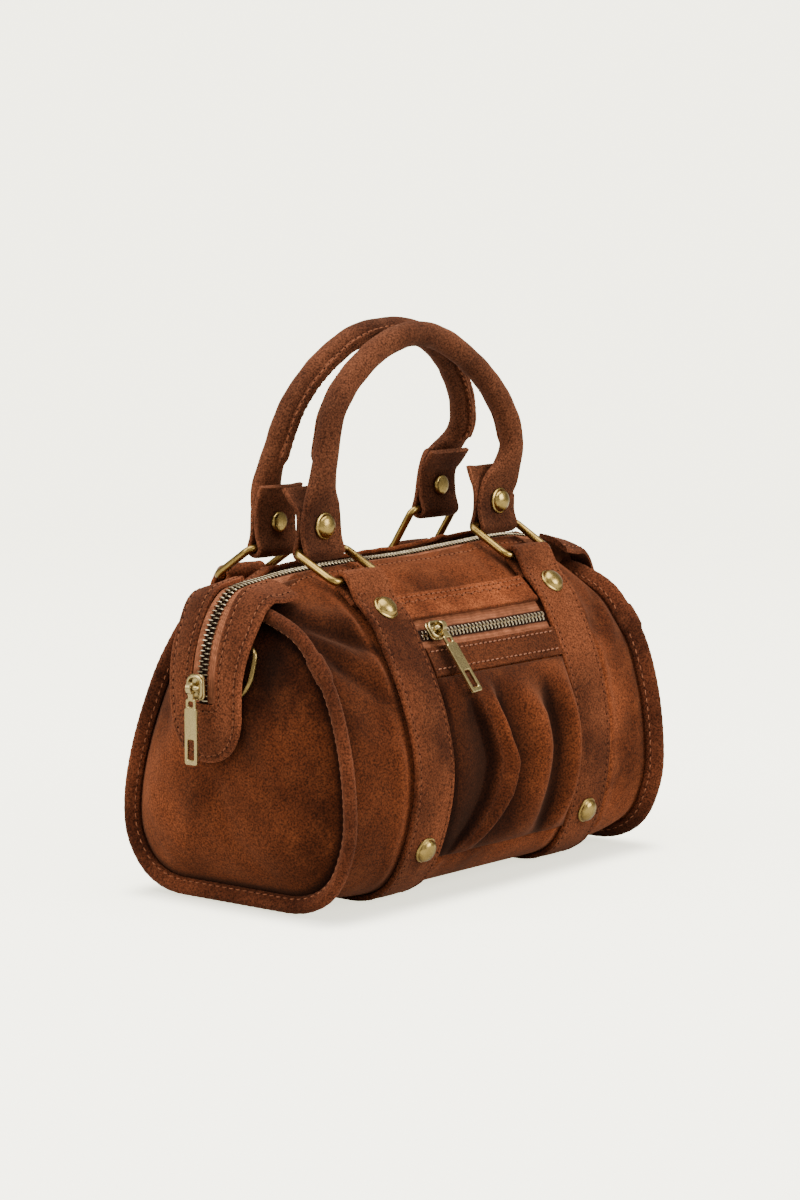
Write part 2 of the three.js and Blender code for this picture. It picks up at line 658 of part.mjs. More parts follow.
// The arch above the ends: where each leg stands at these heights, left leg and right leg
const ARCH_HEIGHTS = [191, 204, 218, 232, 241];
const ARCH_EASE = 0.7;
const HANDLES = [
  {
    name: 'front',
    side: FRONT,
    apex: vec(0, -10, 243),
    sways: [2.5, 9],
    leans: [7, 3.2],
    legs: [[-60.4, -59.2, -51.4, -34.8, -15], [72.6, 66.4, 54.2, 34.2, 14]],
  },
  {
    name: 'back',
    side: BACK,
    apex: vec(5, 9, 244.3),
    sways: [3, 14],
    leans: [3.2, 7],
    legs: [[-62.2, -60.4, -52.8, -37, -20.5], [78.5, 73.2, 62.9, 46.9, 28.5]],
  },
];

// A tube's section is round and a tab's is flat
function handleSection(round) {
  const corners = 8;
  const { radius, tabHalf, tabThick } = HANDLE;
  const power = lerp(0.4, 1, round);
  const bend = (value) => Math.sign(value) * Math.abs(value) ** power;
  return Array.from({ length: corners }, (_, k) => {
    const angle = (2 * Math.PI * k) / corners;
    const across = lerp(tabHalf, radius, round) * bend(Math.cos(angle));
    const out = lerp(tabThick / 2, radius, round) * bend(Math.sin(angle));
    return [across, out];
  });
}

const rivetPlaces = [];
for (const { name, side, apex, sways, leans, legs } of HANDLES) {
  const bars = ENDS.map((row) => barAt[`${name}_${row.name}`]);
  const tab = ENDS.map(({ end }, i) => TAB_LINE.map(({ out, up, round, sway, lean }) => ({
    point: bars[i].clone().add(vec(end * sway * sways[i], side * (out - lean * leans[i]), up)),
    round,
  })));
  const arch = legs.map((leg, i) => leg.map((x, k) => {
    const foot = tab[i].at(-1).point;
    const rise = (ARCH_HEIGHTS[k] - foot.z) / (apex.z - foot.z);
    return { point: vec(x, lerp(foot.y, apex.y, rise ** ARCH_EASE), ARCH_HEIGHTS[k]), round: 1 };
  }));
  const stations = [
    ...tab[0],
    ...arch[0],
    { point: apex, round: 1 },
    ...arch[1].reverse(),
    ...tab[1].reverse(),
  ];
  const width = (along, i) => {
    if (i < TAB_LINE.length) return X_AXIS;
    if (i >= stations.length - TAB_LINE.length) return X_AXIS.clone().negate();
    return Y_AXIS.clone().cross(along);
  };
  const body = sweep(
    stations.map(({ point }) => point),
    width,
    (i) => handleSection(stations[i].round),
  );
  let solid = toSolid(body);
  bars.forEach((bar, i) => {
    const place = bar.clone().add(vec(0, 0, HANDLE_RIVET_RISE));
    const drill = new THREE.CylinderGeometry(RIVET_HOLE, RIVET_HOLE, DRILL_LENGTH, RIVET_SIDES);
    solid = solid.subtract(toSolid(drill.translate(place.x, place.y, place.z)));
    rivetPlaces.push({ name: `${name}_${ENDS[i].name}`, side, place });
  });
  add(`handle_${name}`, toGeometry(solid), suede);
}

// Rivets: a domed head; a handle's rivet also has a post and a flat cap on the inner side
const RIM = 0.8;
const CAP = { radius: 4.8, height: 1.6, chamfer: 0.6 };
const at = (radius, height) => new THREE.Vector2(radius, height);

function rivetHead(foot) {
  const curve = [0, 30, 60].map((angle) => at(
    RIVET_RADIUS * Math.cos(degToRad(angle)),
    foot + RIM + (RIVET_HEIGHT - RIM) * Math.sin(degToRad(angle)),
  ));
  return [at(RIVET_RADIUS, foot), ...curve, at(0, foot + RIVET_HEIGHT)];
}

for (const { name, side, place } of rivetPlaces) {
  const half = HANDLE.tabThick + 2.5 * GAP;
  const profile = [
    at(0, -half - CAP.height),
    at(CAP.radius - CAP.chamfer, -half - CAP.height),
    at(CAP.radius, -half - CAP.height / 2),
    at(CAP.radius, -half),
    at(RIVET_POST, -half),
    at(RIVET_POST, half),
    ...rivetHead(half),
  ];
  const mesh = add(`rivet_handle_${name}`, new THREE.LatheGeometry(profile, RIVET_SIDES), brass);
  mesh.quaternion.setFromUnitVectors(Y_AXIS, vec(0, side, 0));
  mesh.position.copy(place);
}

function strapRivet(name, place, out) {
  const geometry = new THREE.LatheGeometry([at(0, 0), ...rivetHead(0)], RIVET_SIDES);
  const mesh = add(`rivet_strap_${name}`, geometry, brass);
  mesh.quaternion.setFromUnitVectors(Y_AXIS, out);
  mesh.position.copy(place).addScaledVector(out, STRAP_THICK / 2 + GAP);
}

const LOWER_RIVET_HEIGHT = 24.5;
for (const { name, end } of ENDS) {
  for (const { name: face, side } of FACES) {
    const x = end * STRAP_X;
    const layer = (distance) => loopLayer(x, side, distance, true);
    const down = layer(RIVET_FROM_BAR + 1).sub(layer(RIVET_FROM_BAR - 1));
    const out = down.cross(X_AXIS).multiplyScalar(-side).normalize();
    strapRivet(`upper_${face}_${name}`, layer(RIVET_FROM_BAR), out);
    const wrap = side * wrapAt(LOWER_RIVET_HEIGHT);
    const low = bodyNormal(x, wrap).setX(0).normalize();
    strapRivet(`lower_${face}_${name}`, strapBase(x, wrap, LAYER), low);
  }
}

// D-rings behind the zip tabs, each on a short folded keeper sewn to the end panel
const D_RING = { wide: 30, tall: 26, wire: 3, corner: 3.5, y: -8, lean: 14.6 };
const D_BAR = { x: 120.8, z: 113 };
const KEEPER = { y: -8, width: 12, thick: 1.4 };
const KEEPER_START = vec(116.4, 0, 117.3);
const KEEPER_FINISH = vec(118.6, 0, 111.7);

function dRingGeometry() {
  const { wide, tall, wire, corner } = D_RING;
  const half = (wide - wire) / 2;
  const drop = tall - wire - half;
  const arc = steps(0, 180, 8).map((angle) =>
    vec(half * Math.cos(degToRad(angle)), -drop - half * Math.sin(degToRad(angle)), 0));
  const top = [[-half, -corner], [corner - half, 0], [half - corner, 0], [half, -corner]];
  const path = [...arc, ...top.map(([x, y]) => vec(x, y, 0))];
  return sweep(path, () => Z_AXIS, () => roundSection(wire / 2, 6), true);
}

for (const { name, end } of ENDS) {
  const { y, lean, wire } = D_RING;
  const tilt = degToRad(lean);
  const bar = vec(0, end, 0);
  const up = vec(-end * Math.sin(tilt), 0, Math.cos(tilt));
  const ring = add(`end_ring_${name}`, dRingGeometry(), brass);
  seat(ring, vec(end * D_BAR.x, y, D_BAR.z), bar, bar.clone().cross(up));
  const radius = wire / 2 + GAP + KEEPER.thick / 2;
  const turn = steps(130, -120, 8).map((angle) => vec(
    D_BAR.x + radius * Math.cos(degToRad(angle)),
    0,
    D_BAR.z + radius * Math.sin(degToRad(angle)),
  ));
  const path = [KEEPER_START, ...turn, KEEPER_FINISH].map(({ x, z }) => vec(end * x, KEEPER.y, z));
  const section = rectangle(KEEPER.width, KEEPER.thick);
  add(`end_keeper_${name}`, sweep(path, () => Y_AXIS, () => section), suede);
}

// Front pocket between the straps, by heights on the body's front
const POCKET_HALF = STRAP_X - STRAP_WIDTH / 2 - 2 * GAP;
const POCKET = {
  top: 128.5,
  facingEdge: 118.5,
  zip: 112.6,
  bandTop: 107.5,
  bandEdge: 96,
  pouchTop: 95.4,
  bottom: 18.5,
};
const POCKET_TAPE = 0.8;
const POCKET_CHAIN = { half: 2.1, height: 1.8 };
const POCKET_LAYER = 1.5;
const OVER_TAPE = 2 * GAP + POCKET_TAPE;

function patch(xs, heights, off, thick) {
  const wraps = heights.map((height) => -wrapAt(height));
  const grid = (extra) => wraps.map((wrap) => xs.map((x) => offBody(x, wrap, off(x, wrap) + extra)));
  return slab(grid(0), grid(thick));
}

const TAPE_HIDDEN = 3;
const CHAIN_ENDS = { left: 2, right: 1 };
{
  const xs = steps(-POCKET_HALF, POCKET_HALF, 8);
  const { top, facingEdge, zip, bandTop, bandEdge } = POCKET;
  const { half, height } = POCKET_CHAIN;
  const facing = steps(facingEdge, top, 2);
  const band = steps(bandEdge, bandTop, 2);
  const tapeHeights = steps(bandTop - TAPE_HIDDEN, facingEdge + TAPE_HIDDEN, 3);
  const chainXs = steps(CHAIN_ENDS.left - POCKET_HALF, POCKET_HALF - CHAIN_ENDS.right, 6);
  add('pocket_facing', patch(xs, facing, () => OVER_TAPE, POCKET_LAYER), suede);
  add('pocket_band', patch(xs, band, () => OVER_TAPE, POCKET_LAYER), suede);
  add('pocket_tape', patch(xs, tapeHeights, () => GAP, POCKET_TAPE), tape);
  add('pocket_chain', patch(chainXs, steps(zip - half, zip + half, 2), () => OVER_TAPE, height), brass);
}

// The pouch swells from its seams; each pleat is a valley that drifts sideways on its way down
const POUCH_RISE = 10;
const PLEATS = [
  { x: -27, drift: -4, width: 5, depth: 3 },
  { x: -9, drift: 6, width: 4.5, depth: 3.2 },
  { x: 8, drift: -3, width: 5, depth: 3.5 },
  { x: 25, drift: 8, width: 6, depth: 3.2 },
];
{
  const top = wrapAt(POCKET.pouchTop);
  const bottom = wrapAt(POCKET.bottom);
  const off = (x, wrap) => {
    const across = Math.abs(x) / POCKET_HALF;
    const down = Math.min(1, Math.max(0, (top + wrap) / (top - bottom)));
    const fullness = Math.sin(Math.PI * down ** 0.85) ** 0.55;
    const folds = PLEATS.reduce((sum, { x: at, drift, width, depth }) =>
      sum - depth * Math.exp(-(((x - at - drift * down) / width) ** 2)), 0);
    return GAP + (1 - across ** 8) * Math.max(0, fullness) * (POUCH_RISE + folds);
  };
  const heights = steps(POCKET.pouchTop, POCKET.bottom, 9);
  add('pocket_pouch', patch(steps(-POCKET_HALF, POCKET_HALF, 20), heights, off, POCKET_LAYER), suede);
}

// Pocket slider at the zip's left end; its pull hangs down the slope, a little askew
const POCKET_SLIDER_X = -36;
const POCKET_PULL = { skew: 5, tuck: 4 };
{
  const wrap = -wrapAt(POCKET.zip);
  const out = bodyNormal(POCKET_SLIDER_X, wrap);
  const bar = X_AXIS.clone().addScaledVector(out, -out.x).normalize();
  const rise = OVER_TAPE + POCKET_CHAIN.height + GAP + SLIDER_PLATE;
  const place = offBody(POCKET_SLIDER_X, wrap, rise);
  seat(add('pocket_slider', sliderGeometry(11, 9), brass), place, bar, out);
  const pullBar = bar.clone().applyAxisAngle(out, degToRad(POCKET_PULL.skew));
  const pullOut = out.clone().applyAxisAngle(pullBar, degToRad(POCKET_PULL.tuck));
  const axis = place.clone().addScaledVector(out, PULL_AXIS);
  seat(add('pocket_pull', pullGeometry(), brass), axis, pullBar, pullOut);
}

export default bag;
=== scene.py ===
"""A small suede bowling bag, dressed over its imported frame.

Shapes are worked out in millimetres in the bag's own drawing, whose origin lies on the floor under
the middle of the zip, and are put into the frame in metres.
"""

import json

import bmesh
import bpy
import numpy as np
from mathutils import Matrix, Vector


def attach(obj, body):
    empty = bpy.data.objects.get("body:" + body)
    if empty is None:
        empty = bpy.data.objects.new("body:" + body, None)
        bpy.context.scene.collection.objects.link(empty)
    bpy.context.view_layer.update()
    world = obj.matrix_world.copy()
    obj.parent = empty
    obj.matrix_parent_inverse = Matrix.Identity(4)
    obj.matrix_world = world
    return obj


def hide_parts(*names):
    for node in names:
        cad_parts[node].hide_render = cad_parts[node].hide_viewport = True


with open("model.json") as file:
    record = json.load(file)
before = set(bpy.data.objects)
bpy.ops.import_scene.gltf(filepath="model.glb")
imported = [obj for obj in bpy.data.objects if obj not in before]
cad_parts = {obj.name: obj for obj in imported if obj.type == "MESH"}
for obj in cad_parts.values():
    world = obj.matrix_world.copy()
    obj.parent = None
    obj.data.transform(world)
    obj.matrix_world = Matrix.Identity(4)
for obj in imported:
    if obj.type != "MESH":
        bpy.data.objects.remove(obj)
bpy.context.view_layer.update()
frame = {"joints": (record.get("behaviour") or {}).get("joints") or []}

# Floor, lamps and camera.
# The bag stands on a pale seamless sweep under large soft lamps, and is seen past its left end
# through a long lens, a little above the floor.
MM = 0.001
DRAWING_ORIGIN = np.array([3.6, 5.2, 1.2])
CAMERA_TURN = np.radians(-50.5)
CAMERA_RISE = np.radians(6.9)
CAMERA_DISTANCE = 1500
CAMERA_LENS = 99
CAMERA_ASIDE = 0.7
CAMERA_HEIGHT = 121.5
SENSOR = 36

camera_right = np.array([np.cos(CAMERA_TURN), np.sin(CAMERA_TURN), 0])
camera_level = np.array([np.sin(CAMERA_TURN), -np.cos(CAMERA_TURN), 0])
camera_back = camera_level * np.cos(CAMERA_RISE) + np.array([0, 0, np.sin(CAMERA_RISE)])
camera_aim = DRAWING_ORIGIN + camera_right * CAMERA_ASIDE + np.array([0, 0, CAMERA_HEIGHT])
camera_data = bpy.data.cameras.new("camera")
camera_data.lens = CAMERA_LENS
camera_data.sensor_width = SENSOR
camera = bpy.data.objects.new("camera", camera_data)
camera.location = (camera_aim + camera_back * CAMERA_DISTANCE) * MM
camera.rotation_euler = Vector(camera_back).to_track_quat("Z", "Y").to_euler()
bpy.context.scene.collection.objects.link(camera)
bpy.context.scene.camera = camera


def grid_faces(rows, columns, loop=False, ring=False):
    """Quads between neighbouring points of a grid; loop joins its last column to the first, and
    ring its last row to the first."""
    index = np.arange(rows * columns).reshape(rows, columns)
    if loop:
        index = np.concatenate([index, index[:, :1]], axis=1)
    if ring:
        index = np.concatenate([index, index[:1]], axis=0)
    corners = [index[:-1, :-1], index[:-1, 1:], index[1:, 1:], index[1:, :-1]]
    return np.stack(corners, axis=-1).reshape(-1, 4)


def new_object(name, points, faces, material):
    """An object at the origin whose mesh has these points, in metres, and one material."""
    mesh = bpy.data.meshes.new(name)
    mesh.from_pydata(np.asarray(points, float).tolist(), [], faces)
    mesh.materials.append(material)
    made = bpy.data.objects.new(name, mesh)
    bpy.context.scene.collection.objects.link(made)
    return made


def add_node(tree, kind, values=None, **settings):
    """A shader node with its settings, and its inputs set or linked."""
    made = tree.nodes.new(kind)
    for key, value in settings.items():
        setattr(made, key, value)
    for key, value in (values or {}).items():
        if isinstance(value, bpy.types.NodeSocket):
            tree.links.new(value, made.inputs[key])
        else:
            made.inputs[key].default_value = value
    return made


def new_material(name, shader_values):
    """A material with its Principled shader, whose plain numbers are set on its own sockets."""
    material = bpy.data.materials.new(name)
    material.use_nodes = True
    shader = material.node_tree.nodes["Principled BSDF"]
    for key, value in shader_values.items():
        shader.inputs[key].default_value = value
    return material, material.node_tree, shader


def ranged(tree, value, low, high, start, finish):
    """A value between low and high, carried to the range from start to finish and held there."""
    values = {0: value, "From Min": low, "From Max": high, "To Min": start, "To Max": finish}
    return add_node(tree, "ShaderNodeMapRange", values).outputs[0]


def maths(tree, operation, first, second):
    """Two values worked into one by an operation."""
    return add_node(tree, "ShaderNodeMath", {0: first, 1: second}, operation=operation).outputs[0]


def scaled(tree, colour, gain):
    """A colour made lighter or darker by a value."""
    made = add_node(tree, "ShaderNodeVectorMath", {0: colour, "Scale": gain}, operation="SCALE")
    return made.outputs[0]


FLOOR_NEAR = -18.0
FLOOR_FAR = 1.6
FLOOR_HALF = 14.0
FLOOR_BEND = 1.0
WALL_TOP = 3.0
FLOOR_COLOUR = (0.58, 0.575, 0.555, 1)
FLOOR_TONE_LOW = 0.995
# The pale paper is lit apart from the bag, so it glows for the camera only
FLOOR_GLOW = (1.0, 0.965, 0.76, 1)
FLOOR_GLOW_STRENGTH = 4.05
NOUGHT = (0, 0, 0)
# Half the bag's footprint on the floor, and so tall that height makes no difference
FOOTPRINT = (0.106, 0.048, 10.0)
# How far the painted contact shadow reaches, and the share of the glow left under the bag
SHADOW_REACH = 0.026
SHADOW_GLOW = 0.42


def floor_sweep():
    """A floor that runs away from the camera, turns up in a quarter circle and goes on as a wall:
    one profile of distance and height carried across the view."""
    turn = np.radians(np.linspace(0, 90, 19))
    distance = np.concatenate([
        [FLOOR_NEAR], FLOOR_FAR + FLOOR_BEND * np.sin(turn), [FLOOR_FAR + FLOOR_BEND]])
    height = np.concatenate([[0], FLOOR_BEND * (1 - np.cos(turn)), [WALL_TOP]])
    across = np.array([-FLOOR_HALF, FLOOR_HALF])
    away = distance[:, None, None] * -camera_level + height[:, None, None] * np.array([0, 0, 1])
    points = away + across[None, :, None] * camera_right
    return points.reshape(-1, 3), grid_faces(len(distance), 2).tolist()


floor_material, floor_tree, floor_shader = new_material("floor", {"Roughness": 0.95})
floor_noise = add_node(floor_tree, "ShaderNodeTexNoise", {"Scale": 2.0})
floor_tone = ranged(floor_tree, floor_noise.outputs[0], 0.0, 1.0, FLOOR_TONE_LOW, 1.0)
floor_colour = scaled(floor_tree, FLOOR_COLOUR[:3], floor_tone)
floor_tree.links.new(floor_colour, floor_shader.inputs["Base Color"])
floor_ray = add_node(floor_tree, "ShaderNodeLightPath")
# A painted contact shadow: the glow falls off where the bag stands, by the distance from its footprint on
# the floor
floor_where = add_node(floor_tree, "ShaderNodeTexCoord").outputs["Object"]
for floor_step, floor_value in (("ABSOLUTE", NOUGHT), ("SUBTRACT", FOOTPRINT), ("MAXIMUM", NOUGHT)):
    floor_node = add_node(
        floor_tree, "ShaderNodeVectorMath", {0: floor_where, 1: floor_value}, operation=floor_step)
    floor_where = floor_node.outputs[0]
floor_away = add_node(floor_tree, "ShaderNodeVectorMath", {0: floor_where}, operation="LENGTH")
floor_shadow_share = add_node(
    floor_tree, "ShaderNodeMapRange",
    {0: floor_away.outputs["Value"], "From Max": SHADOW_REACH, "To Min": SHADOW_GLOW, "To Max": 1.0},
    interpolation_type="SMOOTHERSTEP")
floor_seen = maths(floor_tree, "MULTIPLY", floor_ray.outputs["Is Camera Ray"], FLOOR_GLOW_STRENGTH)
floor_glow = maths(floor_tree, "MULTIPLY", floor_seen, floor_shadow_share.outputs[0])
floor_shader.inputs["Emission Color"].default_value = FLOOR_GLOW
floor_tree.links.new(floor_glow, floor_shader.inputs["Emission Strength"])
floor = new_object("floor", *floor_sweep(), floor_material)
for polygon in floor.data.polygons:
    polygon.use_smooth = True

LAMP_AIM = np.array([0, 0, 0.1])
WORLD_COLOUR = (1.0, 0.985, 0.955, 1)
WORLD_STRENGTH = 0.42
# Each lamp: across the view, towards the camera and up from the bag, its size and its power
LAMPS = (
    ("lamp_over", -0.15, 0.15, 1.75, 1.7, 52.0),
    ("lamp_left", -1.7, 0.7, 1.1, 1.3, 25.0),
    ("lamp_right", 1.7, 0.9, 1.0, 1.3, 44.0),
    ("lamp_front", -0.2, 2.6, 0.9, 1.6, 4.0),
)
for lamp_name, aside, nearer, up, size, power in LAMPS:
    lamp_data = bpy.data.lights.new(lamp_name, "AREA")
    lamp_data.size = size
    lamp_data.energy = power
    lamp = bpy.data.objects.new(lamp_name, lamp_data)
    place = camera_right * aside + camera_level * nearer + np.array([0, 0, up])
    lamp.location = place
    lamp.rotation_euler = Vector(place - LAMP_AIM).to_track_quat("Z", "Y").to_euler()
    bpy.context.scene.collection.objects.link(lamp)
world = bpy.data.worlds.new("studio")
world.use_nodes = True
background = world.node_tree.nodes["Background"]
background.inputs["Color"].default_value = WORLD_COLOUR
background.inputs["Strength"].default_value = WORLD_STRENGTH
bpy.context.scene.world = world

# Suede.
# Split leather with a raised nap: soft patches of deep and light brown where the pile has been
# brushed either way, fine fibres all over, and painted shade in seams, deep folds and under other parts.
SUEDE_BASE = (0.149, 0.0365, 0.0112, 1)
SUEDE_DEEP = (0.045, 0.0102, 0.0032, 1)
SUEDE_LIGHT = (0.225, 0.062, 0.0200, 1)
SUEDE_SHEEN = (1.0, 0.45, 0.25, 1)


def mix_colours(tree, share, first, second):
    """The second colour laid over the first by a share from 0 to 1."""
    made = add_node(tree, "ShaderNodeMix", {0: share, 6: first, 7: second}, data_type="RGBA")
    return made.outputs[2]


def new_group(name, inputs, outputs):
    """An empty shader group with named sockets; gives the group and its two ends."""
    group = bpy.data.node_groups.new(name, "ShaderNodeTree")
    for label, kind, value in inputs:
        socket = group.interface.new_socket(name=label, in_out="INPUT", socket_type=kind)
        if value is not None:
            socket.default_value = value
    for label, kind in outputs:
        group.interface.new_socket(name=label, in_out="OUTPUT", socket_type=kind)
    return group, group.nodes.new("NodeGroupInput"), group.nodes.new("NodeGroupOutput")


nap_group, nap_in, nap_out = new_group(
    "suede_nap",
    (
        ("Vector", "NodeSocketVector", None),
        ("Base", "NodeSocketColor", SUEDE_BASE),
        ("Deep", "NodeSocketColor", SUEDE_DEEP),
        ("Light", "NodeSocketColor", SUEDE_LIGHT),
        ("Shade", "NodeSocketFloat", 0.0),
        ("Brushed", "NodeSocketFloat", 0.6),
    ),
    (("Colour", "NodeSocketColor"), ("Height", "NodeSocketFloat")),
)
nap_patches = add_node(
    nap_group, "ShaderNodeTexNoise",
    {"Vector": nap_in.outputs["Vector"], "Scale": 22.0, "Detail": 1.5, "Roughness": 0.45})
nap_strokes = add_node(
    nap_group, "ShaderNodeTexNoise",
    {"Vector": nap_in.outputs["Vector"], "Scale": 95.0, "Detail": 3.0, "Roughness": 0.6})
nap_fibres = add_node(
    nap_group, "ShaderNodeTexNoise",
    {"Vector": nap_in.outputs["Vector"], "Scale": 1250.0, "Detail": 1.5, "Roughness": 0.6})
patch_share = ranged(nap_group, nap_patches.outputs[0], 0.36, 0.64, 0.0, 1.0)
stroke_share = ranged(nap_group, nap_strokes.outputs[0], 0.46, 0.78, 0.0, 0.6)
stroke_share = maths(nap_group, "MULTIPLY", stroke_share, nap_in.outputs["Brushed"])
nap_colour = mix_colours(nap_group, patch_share, nap_in.outputs["Deep"], nap_in.outputs["Base"])
nap_colour = mix_colours(nap_group, stroke_share, nap_colour, nap_in.outputs["Light"])
fibre_gain = ranged(nap_group, nap_fibres.outputs[0], 0.32, 0.68, 0.34, 1.66)
# Shade above nought is painted shade; below nought it lightens raw edges
shade_gain = ranged(nap_group, nap_in.outputs["Shade"], -1.0, 1.0, 1.88, 0.12)
nap_gain = maths(nap_group, "MULTIPLY", fibre_gain, shade_gain)
nap_colour = scaled(nap_group, nap_colour, nap_gain)
nap_height = maths(nap_group, "MULTIPLY", nap_strokes.outputs[0], 0.9)
nap_height = maths(nap_group, "ADD", nap_height, nap_fibres.outputs[0])
nap_group.links.new(nap_colour, nap_out.inputs["Colour"])
nap_group.links.new(nap_height, nap_out.inputs["Height"])


def scaled_colour(colour, gain, tint):
    """A colour made lighter or darker and tinted."""
    return tuple(channel * gain * part for channel, part in zip(colour[:3], tint)) + (1,)


def suede_material(name, gain=1.0, brushed=0.6, shift=(0.0, 0.0, 0.0), pile=0.3, tint=(1.0, 1.0, 1.0)):
    """Suede on Object coordinates, moved aside by shift; the mesh's shade attribute darkens it with
    painted shade in seams and folds, and lightens its raw edges where it is below nought."""
    material, tree, shader = new_material(name, {
        "Roughness": 0.95,
        "Specular IOR Level": 0.06,
        "Sheen Weight": 0.12,
        "Sheen Roughness": 0.5,
        "Sheen Tint": SUEDE_SHEEN,
    })
    where = add_node(tree, "ShaderNodeTexCoord")
    moved = add_node(tree, "ShaderNodeMapping", {"Vector": where.outputs["Object"], "Location": shift})
    shade = add_node(tree, "ShaderNodeAttribute", attribute_name="shade")
    nap = add_node(tree, "ShaderNodeGroup", node_tree=nap_group)
    for label, colour in (("Base", SUEDE_BASE), ("Deep", SUEDE_DEEP), ("Light", SUEDE_LIGHT)):
        nap.inputs[label].default_value = scaled_colour(colour, gain, tint)
    nap.inputs["Brushed"].default_value = brushed
    tree.links.new(moved.outputs[0], nap.inputs["Vector"])
    tree.links.new(shade.outputs["Fac"], nap.inputs["Shade"])
    bump = add_node(
        tree, "ShaderNodeBump", {"Height": nap.outputs["Height"], "Strength": pile, "Distance": 0.0006})
    tree.links.new(nap.outputs["Colour"], shader.inputs["Base Color"])
    tree.links.new(bump.outputs[0], shader.inputs["Normal"])
    return material


# Body panel.
# One wrap of suede from the front edge of the zip down under the base and up to its back edge, its
# zip edges turned under and its ends turned out into the seam allowances.
SEAM_X = 105.5
ZIP_SLOT_Y = 7
BODY_WALL = 1.4
# Depth and height halfway along, then front depth, back depth and height at the end seams
SECTION = np.array([
    (0, 1.5, 0, 0, 6.4),
    (34, 1.5, 32, 31, 6.4),
    (47, 5.4, 45.5, 44, 9.5),
    (55, 13, 54, 52, 16),
    (60.5, 25, 59, 57, 25.5),
    (64.5, 42, 62, 58, 37),
    (65.5, 60, 62, 56, 51),
    (62.5, 78, 60, 51, 68),
    (57.5, 94, 56, 44.5, 84),
    (51.5, 106, 51, 38.5, 96.5),
    (43.5, 117, 44, 32, 107),
    (33, 127.5, 34.5, 24.5, 117),
    (19, 137.5, 19, 15.5, 123.5),
    (ZIP_SLOT_Y, 142, ZIP_SLOT_Y, ZIP_SLOT_Y, 125.5),
], float)
RIGHT_LIFT_X, RIGHT_LIFT_WIDE, RIGHT_LIFT = 84, 46, 5
BACK_RIDGE_Y, BACK_RIDGE_WIDE, BACK_RIDGE = 15, 13, 3.5
DEPTH_POWER = 5
HEIGHT_POWER = 7
# Swells and hollows: side, x, height, half width, half height and rise
SWELLS = (
    (-1, -58, 58, 42, 40, 3),
    (-1, 62, 55, 40, 40, -1.5),
    (-1, -86, 118, 11, 13, -3.5),
    (-1, -88, 84, 13, 22, -2.5),
    (-1, 88, 96, 11, 24, -2.5),
    (1, 0, 126, 80, 24, 3),
    (1, -88, 92, 12, 26, -2.5),
    (1, 88, 92, 12, 26, -2.5),
    (1, 4, 72, 34, 30, -2),
)


def hump(value, middle, wide):
    """A bell: 1 at its middle and nearly 0 two widths away."""
    return np.exp(-(((value - middle) / wide) ** 2))


def round_edge(edge, radius, least):
    """A share of the full thickness, so far from an edge that is a quarter circle."""
    return np.sqrt(np.clip(1 - (1 - np.minimum(edge / radius, 1)) ** 2, least, 1))


def step_up(value, start, finish):
    """0 before start, 1 after finish and an S between them."""
    share = np.clip((value - start) / (finish - start), 0, 1)
    return share * share * (3 - 2 * share)


def unit(vectors):
    """The same directions at length 1."""
    return vectors / np.maximum(np.linalg.norm(vectors, axis=-1, keepdims=True), 1e-12)


def spline_rows(rows, share):
    """A uniform Catmull-Rom curve through rows of numbers, share 0 at the first, 1 at the last."""
    place = np.clip(share, 0, 1) * (len(rows) - 1)
    start = np.minimum(place.astype(int), len(rows) - 2)
    t = (place - start)[..., None]
    before = rows[np.maximum(start - 1, 0)]
    first = rows[start]
    second = rows[start + 1]
    after = rows[np.minimum(start + 2, len(rows) - 1)]
    leave = (second - before) / 2
    arrive = (after - first) / 2
    cubic = 2 * first - 2 * second + leave + arrive
    square = 3 * second - 3 * first - 2 * leave - arrive
    return ((cubic * t + square) * t + leave) * t + first


def right_lift(x):
    """How much higher the zip's line stands towards the right end."""
    return RIGHT_LIFT * hump(x, RIGHT_LIFT_X, RIGHT_LIFT_WIDE)


def body_point(x, wrap):
    """The body's outside: the middle section passes into the end section by powers of the share
    along the bag, and bells push the front and back in or out. Wrap runs from -1 at the zip's
    front edge through 0 under the base to 1 at its back edge."""
    x, wrap = np.broadcast_arrays(np.asarray(x, float), np.asarray(wrap, float))
    share = np.abs(x) / SEAM_X
    side = np.where(wrap < 0, -1, 1)
    rows = spline_rows(SECTION, np.abs(wrap))
    depth, height, end_front, end_back, end_height = np.moveaxis(rows, -1, 0)
    end_depth = np.where(side < 0, end_front, end_back)
    base = SECTION[0, 1] + (SECTION[0, 4] - SECTION[0, 1]) * share ** HEIGHT_POWER
    height = np.maximum(height + (end_height - height) * share ** HEIGHT_POWER, base)
    depth = depth + (end_depth - depth) * share ** DEPTH_POWER
    for swell_side, middle, level, wide, tall, rise in SWELLS:
        near = hump(x, middle, wide) * hump(height, level, tall) * (1 - share ** DEPTH_POWER)
        depth = depth + np.where(side == swell_side, rise * near, 0)
    soft = (1 - share ** HEIGHT_POWER) * np.abs(wrap) ** 6
    height = height + soft * right_lift(x)
    ridge = soft * BACK_RIDGE * hump(depth, BACK_RIDGE_Y, BACK_RIDGE_WIDE)
    height = height + np.where(side > 0, ridge, 0)
    return np.stack([x, side * depth, height], axis=-1)


def body_normal(x, wrap):
    """Outward direction of the body: the slope round the wrap crossed with the slope along it."""
    small = 1e-3
    along = body_point(np.add(x, small), wrap) - body_point(np.subtract(x, small), wrap)
    high = body_point(x, np.minimum(np.add(wrap, small), 1))
    low = body_point(x, np.maximum(np.subtract(wrap, small), -1))
    return unit(np.cross(high - low, along))


HEIGHT_WRAPS = np.linspace(0.05, 1, 2001)
HEIGHT_TABLE = np.maximum.accumulate(spline_rows(SECTION, HEIGHT_WRAPS)[:, 1])


def wrap_at(height):
    """The wrap at which the middle section reaches a height, read backwards off its curve."""
    return np.interp(height, HEIGHT_TABLE, HEIGHT_WRAPS)


